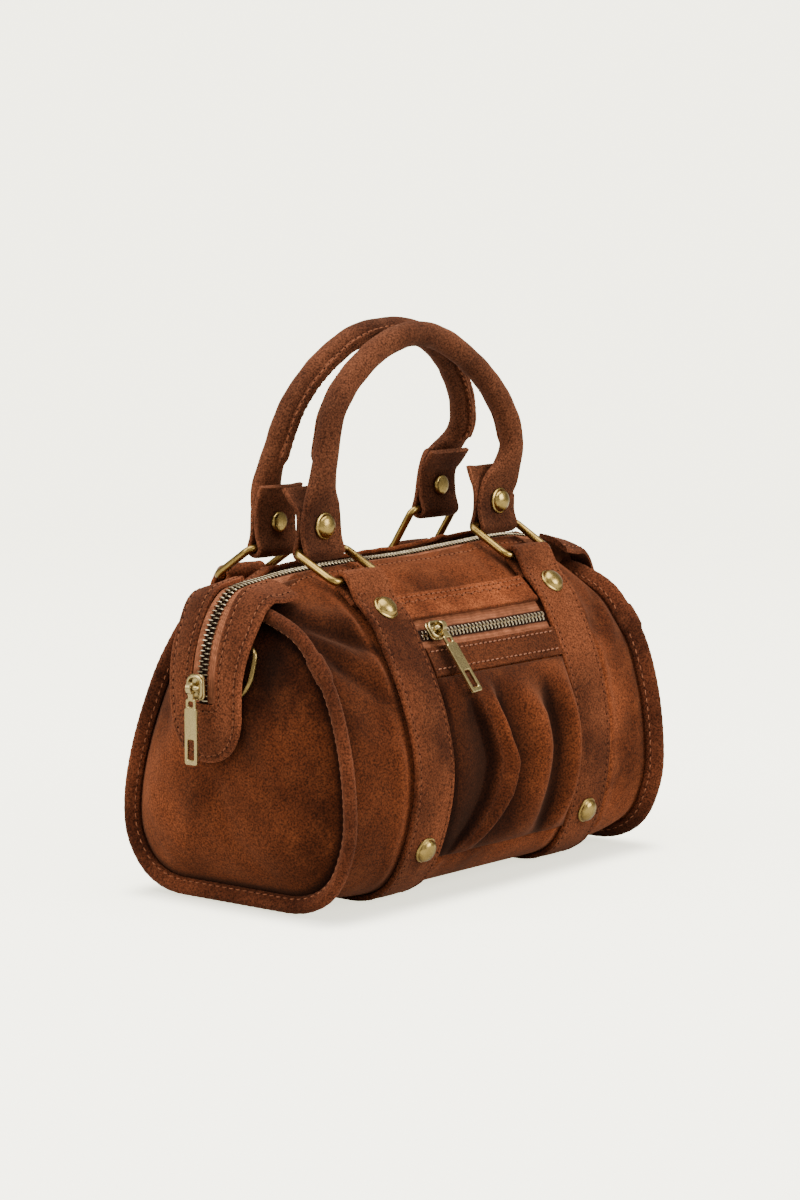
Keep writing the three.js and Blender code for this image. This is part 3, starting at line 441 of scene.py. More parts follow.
def off_body(x, wrap, off):
    """A point so far off the body's outside."""
    return body_point(x, wrap) + body_normal(x, wrap) * np.asarray(off)[..., None]


def distance_gone(path):
    """How far along a broken line each of its points lies."""
    return np.concatenate([[0], np.cumsum(np.linalg.norm(np.diff(path, axis=0), axis=1))])


def read_at(at, gone, rows):
    """Rows of numbers that go with a line, read at other distances along it."""
    return np.stack([np.interp(at, gone, column) for column in rows.T], axis=-1)


def line_distance(x, height, line):
    """Distance from each point to a broken line: the least over its straight parts."""
    line = np.asarray(line, float)
    spot = np.stack(np.broadcast_arrays(x, height), axis=-1)[..., None, :]
    start, run = line[:-1], line[1:] - line[:-1]
    share = np.clip(((spot - start) * run).sum(-1) / (run * run).sum(-1), 0, 1)
    return np.linalg.norm(spot - start - share[..., None] * run, axis=-1).min(-1)


def folds(x, height, rows):
    """Soft folds: each is a bell across a broken line, raised or sunk by its rise."""
    total = np.zeros(np.broadcast(x, height).shape)
    for wide, rise, *line in rows:
        total += rise * hump(line_distance(x, height, line), 0, wide)
    return total


def waver(points, long):
    """A gentle unevenness between -1 and 1: three slanting waves of about this length, multiplied
    in pairs so that no row of them shows."""
    x, y, z = np.moveaxis(points * (2 * np.pi / long), -1, 0)
    first = np.sin(x * 0.9 + z * 0.5 + 1.3) * np.sin(y * 0.8 - z * 0.7 + 0.4)
    second = np.sin(x * 0.4 - z * 1.1 + 2.1) * np.sin(x * 0.7 + y * 0.6 + 0.9)
    return 0.5 * first + 0.5 * second


def both_faces(tone):
    """The same shade for the outer and the inner grid of a wall."""
    return np.concatenate([tone.ravel(), tone.ravel()])


def slab(outer, inner, loop=False):
    """A closed wall between two like grids: both faces, and a strip along each open border."""
    rows, columns = outer.shape[:2]
    count = rows * columns
    index = np.arange(count).reshape(rows, columns)
    if loop:
        index = np.concatenate([index, index[:, :1]], axis=1)
    borders = [index[0], index[-1, ::-1]]
    if not loop:
        borders += [index[::-1, 0], index[:, -1]]
    strips = [np.stack([b[1:], b[:-1], b[:-1] + count, b[1:] + count], axis=-1) for b in borders]
    face = grid_faces(rows, columns, loop)
    faces = np.concatenate([face, face[:, ::-1] + count, *strips])
    return np.concatenate([outer.reshape(-1, 3), inner.reshape(-1, 3)]), faces.tolist()


def joined(parts):
    """Several skins as one: their points in a row, and their faces counted on."""
    points = np.concatenate([part[0] for part in parts])
    starts = np.cumsum([0] + [len(part[0]) for part in parts[:-1]])
    faces = [
        [corner + start for corner in face]
        for part, start in zip(parts, starts)
        for face in part[1]
    ]
    return points, faces


DOUBLES = 2e-6


def make_piece(name, skin, material, shade=None, sharp=50, body="bag", nodes=()):
    """A finished piece of the bag: a closed skin in drawing millimetres, put into the frame, its
    doubles merged, facing outwards and smooth except along sharp edges."""
    points, faces = skin
    made = new_object(name, (np.asarray(points) + DRAWING_ORIGIN) * MM, faces, material)
    mesh = made.data
    shade = np.zeros(len(points)) if shade is None else np.asarray(shade, float).ravel()
    mesh.attributes.new("shade", "FLOAT", "POINT").data.foreach_set("value", shade)
    work = bmesh.new()
    work.from_mesh(mesh)
    bmesh.ops.remove_doubles(work, verts=work.verts, dist=DOUBLES)
    bmesh.ops.recalc_face_normals(work, faces=work.faces)
    work.to_mesh(mesh)
    work.free()
    mesh.shade_smooth()
    mesh.set_sharp_from_angle(angle=np.radians(sharp))
    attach(made, body)
    if nodes:
        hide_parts(*nodes)
    return made


STRAP_X = 60
STRAP_WIDTH = 26
POCKET_HALF = STRAP_X - STRAP_WIDTH / 2 - 0.6
POCKET_TOP = 128.5
POCKET_BOTTOM = 18.5
FLANGE = 8.6
FLANGE_TURN = np.radians(45)
CURL = 0.9
# Folds of the front and back: width, rise and the line they follow along the bag and up
FRONT_FOLDS = (
    (4.2, 2.2, (-104, 127), (-90, 125), (-72, 120)),
    (3.2, -2.6, (-103, 122), (-88, 117), (-72, 110)),
    (4.2, 2.0, (-102, 118), (-88, 108), (-72, 99)),
    (4.0, -1.6, (-101, 110), (-88, 98), (-75, 88)),
    (6.0, 1.0, (-98, 78), (-84, 70), (-74, 66)),
    (4.5, -1.2, (100, 118), (88, 108), (75, 103)),
    (5.0, 1.3, (101, 110), (90, 97), (76, 88)),
    (5.0, -1.0, (98, 62), (86, 52), (76, 50)),
)
BACK_FOLDS = (
    (4.5, 1.8, (-102, 120), (-88, 112), (-73, 106)),
    (3.6, -2.0, (-102, 113), (-88, 103), (-74, 96)),
    (4.5, 1.8, (102, 120), (88, 112), (73, 106)),
    (3.6, -2.0, (102, 113), (88, 103), (74, 96)),
    (6.0, -1.4, (-40, 100), (-12, 84), (18, 80)),
    (7.0, 1.2, (-36, 76), (-5, 66), (34, 70)),
)
# Painted shade on the panel beside straps and seams, in a fold this deep, under the tabs and at the left
STRAP_SHADE, SEAM_SHADE, FOLD_SHADE, TAB_SHADE, LEFT_SHADE = 0.55, 0.42, 0.45, 0.9, 0.45
DEEP_FOLD = 2.6


def bare_share(x, wrap, height):
    """1 on the open body, 0 under the straps and the pocket, with a soft shoulder between."""
    off_strap = step_up(np.abs(np.abs(x) - STRAP_X), STRAP_WIDTH / 2 + 0.3, STRAP_WIDTH / 2 + 5)
    in_pocket = (1 - step_up(np.abs(x), POCKET_HALF - 0.5, POCKET_HALF + 0.5)) * (wrap < 0)
    in_pocket = in_pocket * step_up(height, POCKET_BOTTOM - 4, POCKET_BOTTOM)
    in_pocket = in_pocket * (1 - step_up(height, POCKET_TOP, POCKET_TOP + 4))
    return off_strap * (1 - in_pocket)


def body_relief(x, wrap):
    """What the soft panel adds to its plain form: folds, waver and a fullness beside the straps,
    all fading towards the end seams, the base and under what is sewn on."""
    plain = body_point(x, wrap)
    height = plain[..., 2]
    soft = folds(x, height, FRONT_FOLDS) * (wrap < 0) + folds(x, height, BACK_FOLDS) * (wrap > 0)
    soft = soft + 0.55 * waver(plain, 34) + 0.22 * waver(plain, 13)
    puff = 0.9 * hump(np.abs(np.abs(x) - STRAP_X), STRAP_WIDTH / 2 + 5, 4)
    ends = 1 - step_up(np.abs(x), SEAM_X - 9, SEAM_X)
    return (soft + puff) * bare_share(x, wrap, height) * ends * step_up(height, 4, 16)


def body_shade(x, wrap):
    """Painted shade along the straps' edges and the end seams, in the front's folds, under the tabs
    and on the front past the left strap, which the light reaches less."""
    height = body_point(x, wrap)[..., 2]
    beside = np.abs(np.abs(np.abs(x) - STRAP_X) - STRAP_WIDTH / 2)
    seam = SEAM_X - np.abs(x)
    tone = STRAP_SHADE * hump(beside, 0, 1.1) + SEAM_SHADE * hump(seam, 0, 2.2)
    deep = np.clip(-folds(x, height, FRONT_FOLDS) / DEEP_FOLD, 0, 1) * (wrap < 0)
    under_tab = TAB_SHADE * hump(np.abs(x), 103, 5) * hump(height, 130, 6)
    left_front = LEFT_SHADE * step_up(-x, STRAP_X + 10, STRAP_X + 22) * (wrap < 0)
    left_front = left_front * (1 + 1.2 * hump(height, 116, 14))
    return np.clip(tone + FOLD_SHADE * deep + under_tab + left_front, 0, 1)


def seam_out(points):
    """Outward directions of the end seam in its plane, square to its run."""
    along = np.gradient(points, axis=0)
    return unit(np.stack([np.zeros(len(points)), along[:, 2], -along[:, 1]], axis=-1))


def flange_point(end, points, outs, along, below):
    """The seam allowances stand out diagonally: a point so far along and below the flange."""
    x = end * (SEAM_X + along * np.cos(FLANGE_TURN) + below * np.sin(FLANGE_TURN))
    rise = np.asarray(along * np.sin(FLANGE_TURN) - below * np.cos(FLANGE_TURN))[..., None]
    made = points + outs * rise
    made[..., 0] = x
    return made


def body_skin():
    """Outer and inner grids, x by wrap: the panel with its relief, its zip edges curled under and
    a flange at either end; the inner grid lies one wall inside."""
    wraps = np.linspace(-1, 1, 229)
    x, wrap = np.meshgrid(np.linspace(-SEAM_X, SEAM_X, 187), wraps, indexing="ij")
    normal = body_normal(x, wrap)
    outer = body_point(x, wrap) + normal * body_relief(x, wrap)[..., None]
    inner = outer - normal * BODY_WALL
    shade = body_shade(x, wrap)
    flange = np.array([2.0, 5.0, FLANGE])
    seam = body_point(0 * wraps + SEAM_X, wraps) * np.array([0, 1, 1])
    outs = seam_out(seam)
    ends = {}
    for end in (-1, 1):
        ends[end] = [
            np.stack([flange_point(end, seam, outs, along, below) for along in flange])
            for below in (0, BODY_WALL)
        ]
    outer = np.concatenate([ends[-1][0][::-1], outer, ends[1][0]])
    inner = np.concatenate([ends[-1][1][::-1], inner, ends[1][1]])
    # The flanges are dark all over: painted shade under the binding
    shade = np.concatenate([np.ones((3, len(wraps))), shade, np.ones((3, len(wraps)))])
    turn = np.radians(np.array([40, 80, 120, 160]))
    for first, step in ((0, 1), (-1, -1)):
        edge = outer[:, first]
        beyond = unit(edge - outer[:, first + 2 * step])
        down = unit(inner[:, first] - edge)
        curled = [edge + CURL * (np.sin(t) * beyond + (1 - np.cos(t)) * down) for t in turn]
        tucked = [inner[:, first] + 0.5 * CURL * np.sin(t / 2) * down for t in turn]
        curled, tucked = np.stack(curled, axis=1), np.stack(tucked, axis=1)
        tone = np.repeat(shade[:, [first]], len(turn), axis=1)
        if first == 0:
            outer = np.concatenate([curled[:, ::-1], outer], axis=1)
            inner = np.concatenate([tucked[:, ::-1], inner], axis=1)
            shade = np.concatenate([tone, shade], axis=1)
        else:
            outer = np.concatenate([outer, curled], axis=1)
            inner = np.concatenate([inner, tucked], axis=1)
            shade = np.concatenate([shade, tone], axis=1)
    return slab(outer, inner), both_faces(shade)


body_suede = suede_material("suede_body", brushed=0.55)
body_parts, body_painted_shade = body_skin()
make_piece("body_panel_suede", body_parts, body_suede, body_painted_shade, nodes=("body_panel",))

# Zip-edge stitching.
# A row of tonal thread holds each turned edge of the body panel beside the zip, sewn through the
# fold about two millimetres in.
THREAD_COLOUR = (0.205, 0.070, 0.031, 1)
BINDING_THREAD = (0.25, 0.09, 0.042, 1)
# The needle holes are near-black spindles: painted shade in each hole
HOLE_SHADE_COLOUR = (0.034, 0.0095, 0.0040, 1)
STITCH_PITCH = 3.4
STITCH_LONG = 2.6
STITCH_RADIUS = 0.33
STITCH_BOW = 0.28
STITCH_SLANT = 0.1
HOLE_LONG = 1.0
HOLE_RADIUS = 0.36


def thread_material(name, colour):
    """Waxed thread: its colour flecked by a fine noise, with a slanting twist as bump."""
    material, tree, shader = new_material(name, {"Roughness": 0.8, "Specular IOR Level": 0.08})
    where = add_node(tree, "ShaderNodeTexCoord")
    fleck = add_node(
        tree, "ShaderNodeTexNoise", {"Vector": where.outputs["Object"], "Scale": 900.0, "Detail": 2.0})
    gain = ranged(tree, fleck.outputs[0], 0.3, 0.7, 0.7, 1.3)
    tinted = scaled(tree, colour[:3], gain)
    twist = add_node(
        tree, "ShaderNodeTexWave",
        {"Vector": where.outputs["Object"], "Scale": 420.0, "Distortion": 1.5},
        bands_direction="DIAGONAL")
    bump = add_node(
        tree, "ShaderNodeBump", {"Height": twist.outputs["Fac"], "Strength": 0.5, "Distance": 0.0001})
    tree.links.new(tinted, shader.inputs["Base Color"])
    tree.links.new(bump.outputs[0], shader.inputs["Normal"])
    return material


def spaced(path, count, *others, start=0.5):
    """A line measured along its length and read again at even steps, the first so many steps in,
    with any other rows of numbers that go with it."""
    gone = distance_gone(path)
    at = (np.arange(count) + start) * gone[-1] / count
    return [read_at(at, gone, rows) for rows in (path, *others)]


def path_length(path):
    """The length of a broken line."""
    return np.linalg.norm(np.diff(path, axis=0), axis=1).sum()


def copies(place, *spread):
    """One small closed shape set down at many places: each axis goes with how far along it every
    point lies, by station and by side, and the shape is capped at its first and last station."""
    points = place[:, None, None, :] + sum(
        axis[:, None, None, :] * amount[None, :, :, None] for axis, amount in spread)
    count, stations, sides = points.shape[:3]
    per = stations * sides
    starts = (np.arange(count) * per)[:, None, None]
    walls = (grid_faces(stations, sides, loop=True)[None] + starts).reshape(-1, 4)
    caps = np.stack([np.arange(sides)[::-1], np.arange(sides) + per - sides])
    caps = (caps[None] + starts).reshape(-1, sides)
    return points.reshape(-1, 3), walls.tolist() + caps.tolist()


def stitch_row(path, normals, pitch, long, radius, slant=0.0, bow=0.0, start=0.5):
    """A row of stitches: at even steps a six-sided spindle lies along the line, turned and bowed a
    little across it, its middle proud of the suede and its drawn-in ends sunk in it."""
    count = max(2, int(path_length(path) / pitch))
    place, normal, along = spaced(path, count, normals, np.gradient(path, axis=0), start=start)
    normal, along = unit(normal), unit(along)
    side = unit(np.cross(normal, along))
    along = unit(along + slant * side)
    side = np.cross(normal, along)
    share = np.array([-1, -0.7, 0, 0.7, 1])
    thick = np.array([0.35, 0.85, 1, 0.85, 0.35]) * radius
    rise = np.array([-0.9, -0.2, 0.25, -0.2, -0.9]) * radius
    turn = np.arange(6) * np.pi / 3
    ahead = (share * long / 2)[:, None] + 0 * turn
    aside = thick[:, None] * np.cos(turn) + bow * (1 - share[:, None] ** 2)
    up = thick[:, None] * np.sin(turn) + rise[:, None]
    return copies(place, (along, ahead), (side, aside), (normal, up))


def sew(name, rows, thread, pitch=STITCH_PITCH, long=STITCH_LONG, radius=STITCH_RADIUS):
    """Rows of stitches as one piece of thread, and the needle holes between them as another, near-black
    as painted shade in each hole; each row has its line, its outward directions and the side to which it
    leans."""
    stitches = [
        stitch_row(path, normals, pitch, long, radius, STITCH_SLANT * way, STITCH_BOW * way)
        for path, normals, way in rows
    ]
    holes = [
        stitch_row(path, normals, pitch, HOLE_LONG, HOLE_RADIUS, start=0.0)
        for path, normals, way in rows
    ]
    make_piece(f"{name}_stitches", joined(stitches), thread)
    make_piece(f"{name}_holes", joined(holes), needle_hole_shade)


ZIP_STITCH_IN = 0.965
ZIP_STITCH_REACH = 93
suede_thread = thread_material("thread_tonal", THREAD_COLOUR)
binding_thread = thread_material("thread_binding", BINDING_THREAD)
needle_hole_shade = thread_material("needle_hole_shade", HOLE_SHADE_COLOUR)
stitch_x = np.linspace(-ZIP_STITCH_REACH, ZIP_STITCH_REACH, 200)
zip_rows = []
for zip_side in (-1, 1):
    row_wrap = np.full_like(stitch_x, zip_side * ZIP_STITCH_IN)
    row = off_body(stitch_x, row_wrap, body_relief(stitch_x, row_wrap))
    zip_rows.append((row, body_normal(stitch_x, row_wrap), zip_side))
sew("body_zip", zip_rows, suede_thread)

# End panels.
# Two pillowed ovals of the same suede close the ends of the wrap, each with its own allowance
# turned out against the body's.
END_MIDDLE_HEIGHT = 62
END_BULGE = 16.5
END_POWER = 3
END_WALL = 1.5
END_LOW = 1.9
END_RIM = 2.2
SEAM_CREST = 125.9
END_NAMES = ((-1, "left"), (1, "right"))
seam_wraps = np.linspace(-1, 1, 181)
seam_top = np.array([
    (0, 4.6, 125.75), (0, 2.3, SEAM_CREST), (0, 0, SEAM_CREST), (0, -2.3, SEAM_CREST),
    (0, -4.6, 125.75),
])
seam_line = body_point(0 * seam_wraps + SEAM_X, seam_wraps) * np.array([0, 1, 1])
seam_line = np.concatenate([seam_line, seam_top])
seam_run = np.roll(seam_line, -1, axis=0) - np.roll(seam_line, 1, axis=0)
seam_outs = unit(np.stack([0 * seam_run[:, 0], seam_run[:, 2], -seam_run[:, 1]], axis=-1))
# Folds of an end panel, by depth and height: from the tab's foot outwards and along the low seam
END_FOLDS = (
    (5.0, -1.5, (-22, 100), (-30, 84), (-40, 70)),
    (5.0, 1.2, (-18, 92), (-26, 74), (-36, 58)),
    (6.0, -1.2, (20, 98), (30, 80), (40, 66)),
    (7.0, 1.1, (8, 52), (14, 34), (30, 20)),
    (6.0, -1.2, (-4, 48), (-10, 30), (-24, 18)),
    (8.0, 0.9, (-42, 40), (-30, 26), (-10, 16)),
)
# Painted shade under the tab: shade, depth and half width, height and half height
END_SHADES = ((0.75, -27, 9, 106, 15), (0.3, -22, 10, 76, 16))


def end_skin(end):
    """A polar grid, share 0 in the middle and 1 at the seam: the rim's outline shrinks to the middle
    and a cubic bulge pushes it out; then the allowance follows the flange."""
    shares = np.linspace(0, 1, 60) ** 0.8
    rim = flange_point(end, seam_line.copy(), seam_outs, END_RIM, END_LOW + END_WALL)
    middle = np.array([rim[0, 0], 0, END_MIDDLE_HEIGHT])
    share = shares[:, None, None]
    outer = middle + (rim - middle) * share
    outer = outer + np.array([end, 0, 0]) * (END_BULGE * (1 - share ** END_POWER))
    soft = folds(outer[..., 1], outer[..., 2], END_FOLDS)
    soft = soft + 0.5 * waver(outer, 30) + 0.2 * waver(outer, 12)
    fade = 1 - step_up(shares, 0.8, 1.0)[:, None]
    outer = outer + np.array([end, 0, 0]) * (soft * fade)[..., None]
    inner = outer - np.array([end, 0, 0]) * END_WALL
    depth, height = outer[..., 1], outer[..., 2]
    # Painted shade: darkest at the rim, in patches under the tab, and more towards the front and the
    # bottom
    tone = step_up(shares, 0.93, 1.0)[:, None] * 0.8
    for dark, front, wide, level, tall in END_SHADES:
        tone = tone + dark * hump(depth, front, wide) * hump(height, level, tall)
    tone = tone + 0.26 * (1 - step_up(depth, -12, 34)) + 0.12 * (1 - step_up(height, 16, 44))
    tone = np.clip(tone, 0, 1)
    flanges = [
        np.stack([
            flange_point(end, seam_line.copy(), seam_outs, along, below) for along in (5.0, FLANGE)])
        for below in (END_LOW + END_WALL, END_LOW)
    ]
    outer = np.concatenate([outer, flanges[0]])
    inner = np.concatenate([inner, flanges[1]])
    # Painted shade on the flanges under the binding
    tone = np.concatenate([tone, np.ones((2, len(seam_line)))])
    return slab(outer, inner, loop=True), both_faces(tone)


end_suede = suede_material("suede_ends", gain=0.94, brushed=0.62, shift=(0.31, 0.17, 0.05))
for end, end_name in END_NAMES:
    end_parts, end_painted_shade = end_skin(end)
    make_piece(
        f"end_panel_{end_name}_suede", end_parts, end_suede, end_painted_shade,
        nodes=(f"end_panel_{end_name}",))

# Edge bindings.
# A strip of suede folded over both allowances and stitched through, all the way round each end; its
# ends lap over each other low on the side.
BINDING_CURVE = np.array([
    (0.9, -0.3), (1.3, -0.9), (2.4, -1.2), (4.6, -1.3), (7.2, -1.2), (9.0, -0.6), (9.9, 0.7),
    (9.9, 2.3), (9.1, 3.7), (7.4, 4.35), (5.6, 4.5), (4.0, 4.4), (3.1, 4.1), (3.0, 3.7),
])
BINDING_INSIDE = np.array([(8.9, 3.75), (8.9, -0.25)])
BINDING_STITCH = 3.2
BINDING_PUCKER = 0.07
BINDING_LAP_START = 0.10
BINDING_LAP = 0.028


def smooth_line(points, count, power=0.5):
    """A centripetal Catmull-Rom curve through points, whose ends are carried on straight, read at
    even steps of its length."""
    points = np.asarray(points, float)
    held = np.concatenate([[2 * points[0] - points[1]], points, [2 * points[-1] - points[-2]]])
    gaps = np.maximum(np.linalg.norm(np.diff(held, axis=0), axis=1), 1e-6) ** power
    t = np.linspace(0, 1, 24, endpoint=False)[None, :, None]
    before, start, finish, after = held[:-3, None], held[1:-2, None], held[2:-1, None], held[3:, None]
    g0, g1, g2 = (gap[:, None, None] for gap in (gaps[:-2], gaps[1:-1], gaps[2:]))
    leave = ((start - before) / g0 - (finish - before) / (g0 + g1) + (finish - start) / g1) * g1
    arrive = ((finish - start) / g1 - (after - start) / (g1 + g2) + (after - finish) / g2) * g1
    cubic = 2 * start - 2 * finish + leave + arrive
    square = 3 * finish - 3 * start - 2 * leave - arrive
    dense = (((cubic * t + square) * t + leave) * t + start).reshape(-1, points.shape[1])
    dense = np.concatenate([dense, points[-1:]])
    gone = distance_gone(dense)
    return read_at(np.linspace(0, gone[-1], count), gone, dense)


def loft(sections, ring=False):
    """A closed skin through a row of closed sections, capped at both ends or joined into a ring."""
    count, sides = sections.shape[:2]
    faces = grid_faces(count, sides, loop=True, ring=ring).tolist()
    if not ring:
        faces += [list(range(sides))[::-1], list(range((count - 1) * sides, count * sides))]
    return sections.reshape(-1, 3), faces


def even_seam(count):
    """The end seam read at even steps, closed, with its outward directions."""
    line = np.concatenate([seam_line, seam_line[:1]])
    outs = np.concatenate([seam_outs, seam_outs[:1]])
    place, out = spaced(line, count, outs)
    return place, unit(out)


def binding_skin(end):
    """The folded strip's section carried round the seam, puckered a little at every stitch and
    raised where its ends lap."""
    count = 360
    place, out = even_seam(count)
    outline = np.concatenate([smooth_line(BINDING_CURVE, 30), BINDING_INSIDE])
    run = np.arange(count) / count
    gone = run * path_length(np.concatenate([place, place[:1]]))
    lap_end = BINDING_LAP_START + BINDING_LAP
    lap = step_up(run, BINDING_LAP_START, BINDING_LAP_START + 0.003)
    lap = lap * (1 - step_up(run, lap_end, lap_end + 0.004))
    pucker = BINDING_PUCKER * np.sin(2 * np.pi * gone / 4.2) + 0.9 * lap
    middle = outline.mean(axis=0)
    grow = unit(outline - middle)
    grow[-2:] = 0
    section = outline[None] + pucker[:, None, None] * grow[None]
    points = np.stack([
        flange_point(end, place.copy(), out, section[:, k, 0], section[:, k, 1])
        for k in range(section.shape[1])
    ], axis=1)
    return loft(points, ring=True)


def binding_rows(end):
    """Two rows of stitches, through the body's side and the end panel's side of the strip."""
    place, out = even_seam(300)
    rows = []
    lean = np.array([end * np.sin(FLANGE_TURN), 0, 0])
    for below, way, aside in ((-1.2, -1, 0.0), (4.35, 1, 1.6)):
        row = flange_point(end, place.copy(), out, BINDING_STITCH + aside, below)
        rows.append((row, unit(way * (lean - out * np.cos(FLANGE_TURN))), way))
    return rows


binding_suede = suede_material(
    "suede_binding", gain=0.78, brushed=0.5, shift=(0.12, 0.43, 0.27), tint=(1.0, 1.1, 1.4))
for end, end_name in END_NAMES:
    make_piece(
        f"binding_{end_name}_suede", binding_skin(end), binding_suede, sharp=70,
        nodes=(f"binding_{end_name}",))
    sew(f"binding_{end_name}", binding_rows(end), binding_thread, pitch=3.9, long=2.9)

# Main zip.
# A woven tape under the body's turned edges carries two rows of antique brass teeth, closed along
# the top and down both ends into the tabs.
ZIP_HALF_PATH = np.array([
    (0, 141.4), (40, 141.3), (76, 140), (92, 138.4), (105.5, 136.9), (112, 135.3), (117.5, 131),
    (123, 123.5), (127.6, 112.5), (130, 100), (129.8, 89.6),
])
LIFT_FOOT = 95
ZIP_TOP = 141.4
TAPE_HALF = 8.6
TAPE_THICK = 1.0
TAPE_FLAT = 5.2
TAPE_DIP = 2.4
# The turned-in edges: where they start, how far from the zip's middle, and the gap below the tape
# at some heights
WING_FROM = 76
WING_Y = 9.8
WING_HEIGHTS = (64, 80, 92, 112, 130)
WING_GAPS = (4, 8, 11, 17, 20)
# Painted shade on the turned-in edges under the tabs
WING_SHADE = 0.6
TOOTH_PITCH = 2.2
TOOTH_LONG = 0.75
TOOTH_REACH = 3.0
TOOTH_PAST = 0.2
TOOTH_TALL = 1.3
TAPE_COLOUR = (0.25, 0.085, 0.038, 1)
BRASS_COLOUR = (0.37, 0.24, 0.066, 1)
BRASS_DARK = (0.10, 0.057, 0.013, 1)
TOOTH_COLOUR = (0.42, 0.34, 0.21, 1)
TOOTH_DARK = (0.09, 0.06, 0.03, 1)


def lifted(x, z):
    """Heights near the zip, raised with the bag's right end."""
    return z + right_lift(x) * np.maximum(0, (z - LIFT_FOOT) / (ZIP_TOP - LIFT_FOOT))


def zip_line(count):
    """The zip's run from its left lower end over the top to its right lower end."""
    left = ZIP_HALF_PATH[:0:-1] * np.array([-1, 1])
    both = np.concatenate([left, ZIP_HALF_PATH])
    points = np.stack([both[:, 0], 0 * both[:, 0], lifted(both[:, 0], both[:, 1])], axis=-1)
    return smooth_line(points, count)


def frames(path, across, ring=False):
    """Directions along, across and out at each point of a path."""
    if ring:
        along = np.roll(path, -1, axis=0) - np.roll(path, 1, axis=0)
    else:
        along = np.gradient(path, axis=0)
    along = unit(along)
    across = np.broadcast_to(np.asarray(across, float), path.shape)
    wide = unit(across - (across * along).sum(-1, keepdims=True) * along)
    return along, wide, np.cross(along, wide)


def sweep(path, across, shape, ring=False):
    """A section of points across and out, carried along a path; it may change from point to point."""
    _, wide, out = frames(path, across, ring)
    shape = np.broadcast_to(shape, (len(path),) + np.shape(shape)[-2:])
    sections = path[:, None] + wide[:, None] * shape[..., :1] + out[:, None] * shape[..., 1:]
    return loft(sections, ring)


def tape_skin():
    """A flat band whose edges dip under the body's turned edges, and lie flat beyond the ends; painted
    shade darkens it between the teeth."""
    path = zip_line(260)
    _, wide, out = frames(path, (0, 1, 0))
    across = np.linspace(-TAPE_HALF, TAPE_HALF, 23)
    inside = 1 - step_up(np.abs(path[:, 0]), 92, 101)
    edge = step_up(np.abs(across), TAPE_FLAT, TAPE_HALF)
    dip = TAPE_DIP * edge[None] * (0.15 + 0.85 * inside[:, None])
    narrow = 1 - 0.28 * (1 - inside)
    mid = path[:, None] + wide[:, None] * (across[None] * narrow[:, None])[..., None]
    mid = mid - out[:, None] * dip[..., None]
    half = out[:, None] * TAPE_THICK / 2
    # Painted shade on the tape between the teeth
    bare = step_up(np.abs(across), TOOTH_REACH - 0.2, TOOTH_REACH + 0.9)
    tone = np.broadcast_to(1 - bare, mid.shape[:2])
    return slab(mid + half, mid - half), both_faces(tone)


def tape_wing(end, side):
    """One edge of the tape, turned in under the tab and sewn to the end panel: a wall carried along
    the end's stretch of the zip, as deep as the gap that it closes."""
    path = zip_line(260)
    out = frames(path, (0, 1, 0))[2]
    there = end * path[:, 0] > WING_FROM
    path, out = path[there], out[there]
    gap = np.interp(path[:, 2], WING_HEIGHTS, WING_GAPS)
    depth = 0.5 + np.linspace(0, 1, 7)[None] * gap[:, None]
    mid = path[:, None] - out[:, None] * depth[..., None]
    mid[..., 1] = mid[..., 1] + side * WING_Y
    half = np.array([0, TAPE_THICK / 2, 0])
    return slab(mid + half, mid - half)


def teeth_skin(path, normals, pitch, long, reach, past, foot, tall):
    """Two rows of teeth set half a pitch apart: each is an eight-sided block, low at its foot and
    narrower at its nose, that reaches from its tape edge just past the middle."""
    count = int(path_length(path) / pitch)
    station = np.array([0, 0.25, 0.7, 1.0])
    wide = np.array([0.8, 1.0, 0.95, 0.6])
    high = np.array([0.55, 0.95, 1.0, 0.72])
    square = np.array([
        (-1, 0.25), (-0.7, 0), (0.7, 0), (1, 0.25), (1, 0.72), (0.6, 1), (-0.6, 1), (-1, 0.72)])
    parts = []
    for row_side, ahead in ((-1, 0.0), (1, 0.5)):
        place, normal, along = spaced(path, count, normals, np.gradient(path, axis=0))
        along, normal = unit(along), unit(normal)
        place = place + along * (ahead * pitch)
        side = np.cross(normal, along) * row_side
        reached = (reach - (reach + past) * station)[:, None] + 0 * square[None, :, 0]
        ahead_by = (wide[:, None] * square[None, :, 0]) * long / 2
        up = foot + high[:, None] * square[None, :, 1] * tall
        parts.append(copies(place, (side, reached), (along, ahead_by), (normal, up)))
    return joined(parts)


weave_group, weave_in, weave_out = new_group(
    "tape_weave",
    (("Vector", "NodeSocketVector", None), ("Colour", "NodeSocketColor", TAPE_COLOUR)),
    (("Colour", "NodeSocketColor"), ("Height", "NodeSocketFloat")),
)
weave_ribs = [
    add_node(weave_group, "ShaderNodeTexWave",
             {"Vector": weave_in.outputs["Vector"], "Scale": 330.0, "Distortion": 0.6, "Detail": 1.0},
             bands_direction=way).outputs["Fac"]
    for way in ("X", "Y")
]
weave_height = maths(weave_group, "MULTIPLY", *weave_ribs)
weave_fleck = add_node(
    weave_group, "ShaderNodeTexNoise",
    {"Vector": weave_in.outputs["Vector"], "Scale": 260.0, "Detail": 3.0})
weave_gain = maths(
    weave_group, "MULTIPLY",
    ranged(weave_group, weave_fleck.outputs[0], 0.3, 0.7, 0.65, 1.35),
    ranged(weave_group, weave_height, 0.0, 0.6, 0.75, 1.2))
weave_colour = scaled(weave_group, weave_in.outputs["Colour"], weave_gain)
weave_group.links.new(weave_colour, weave_out.inputs["Colour"])
weave_group.links.new(weave_height, weave_out.inputs["Height"])


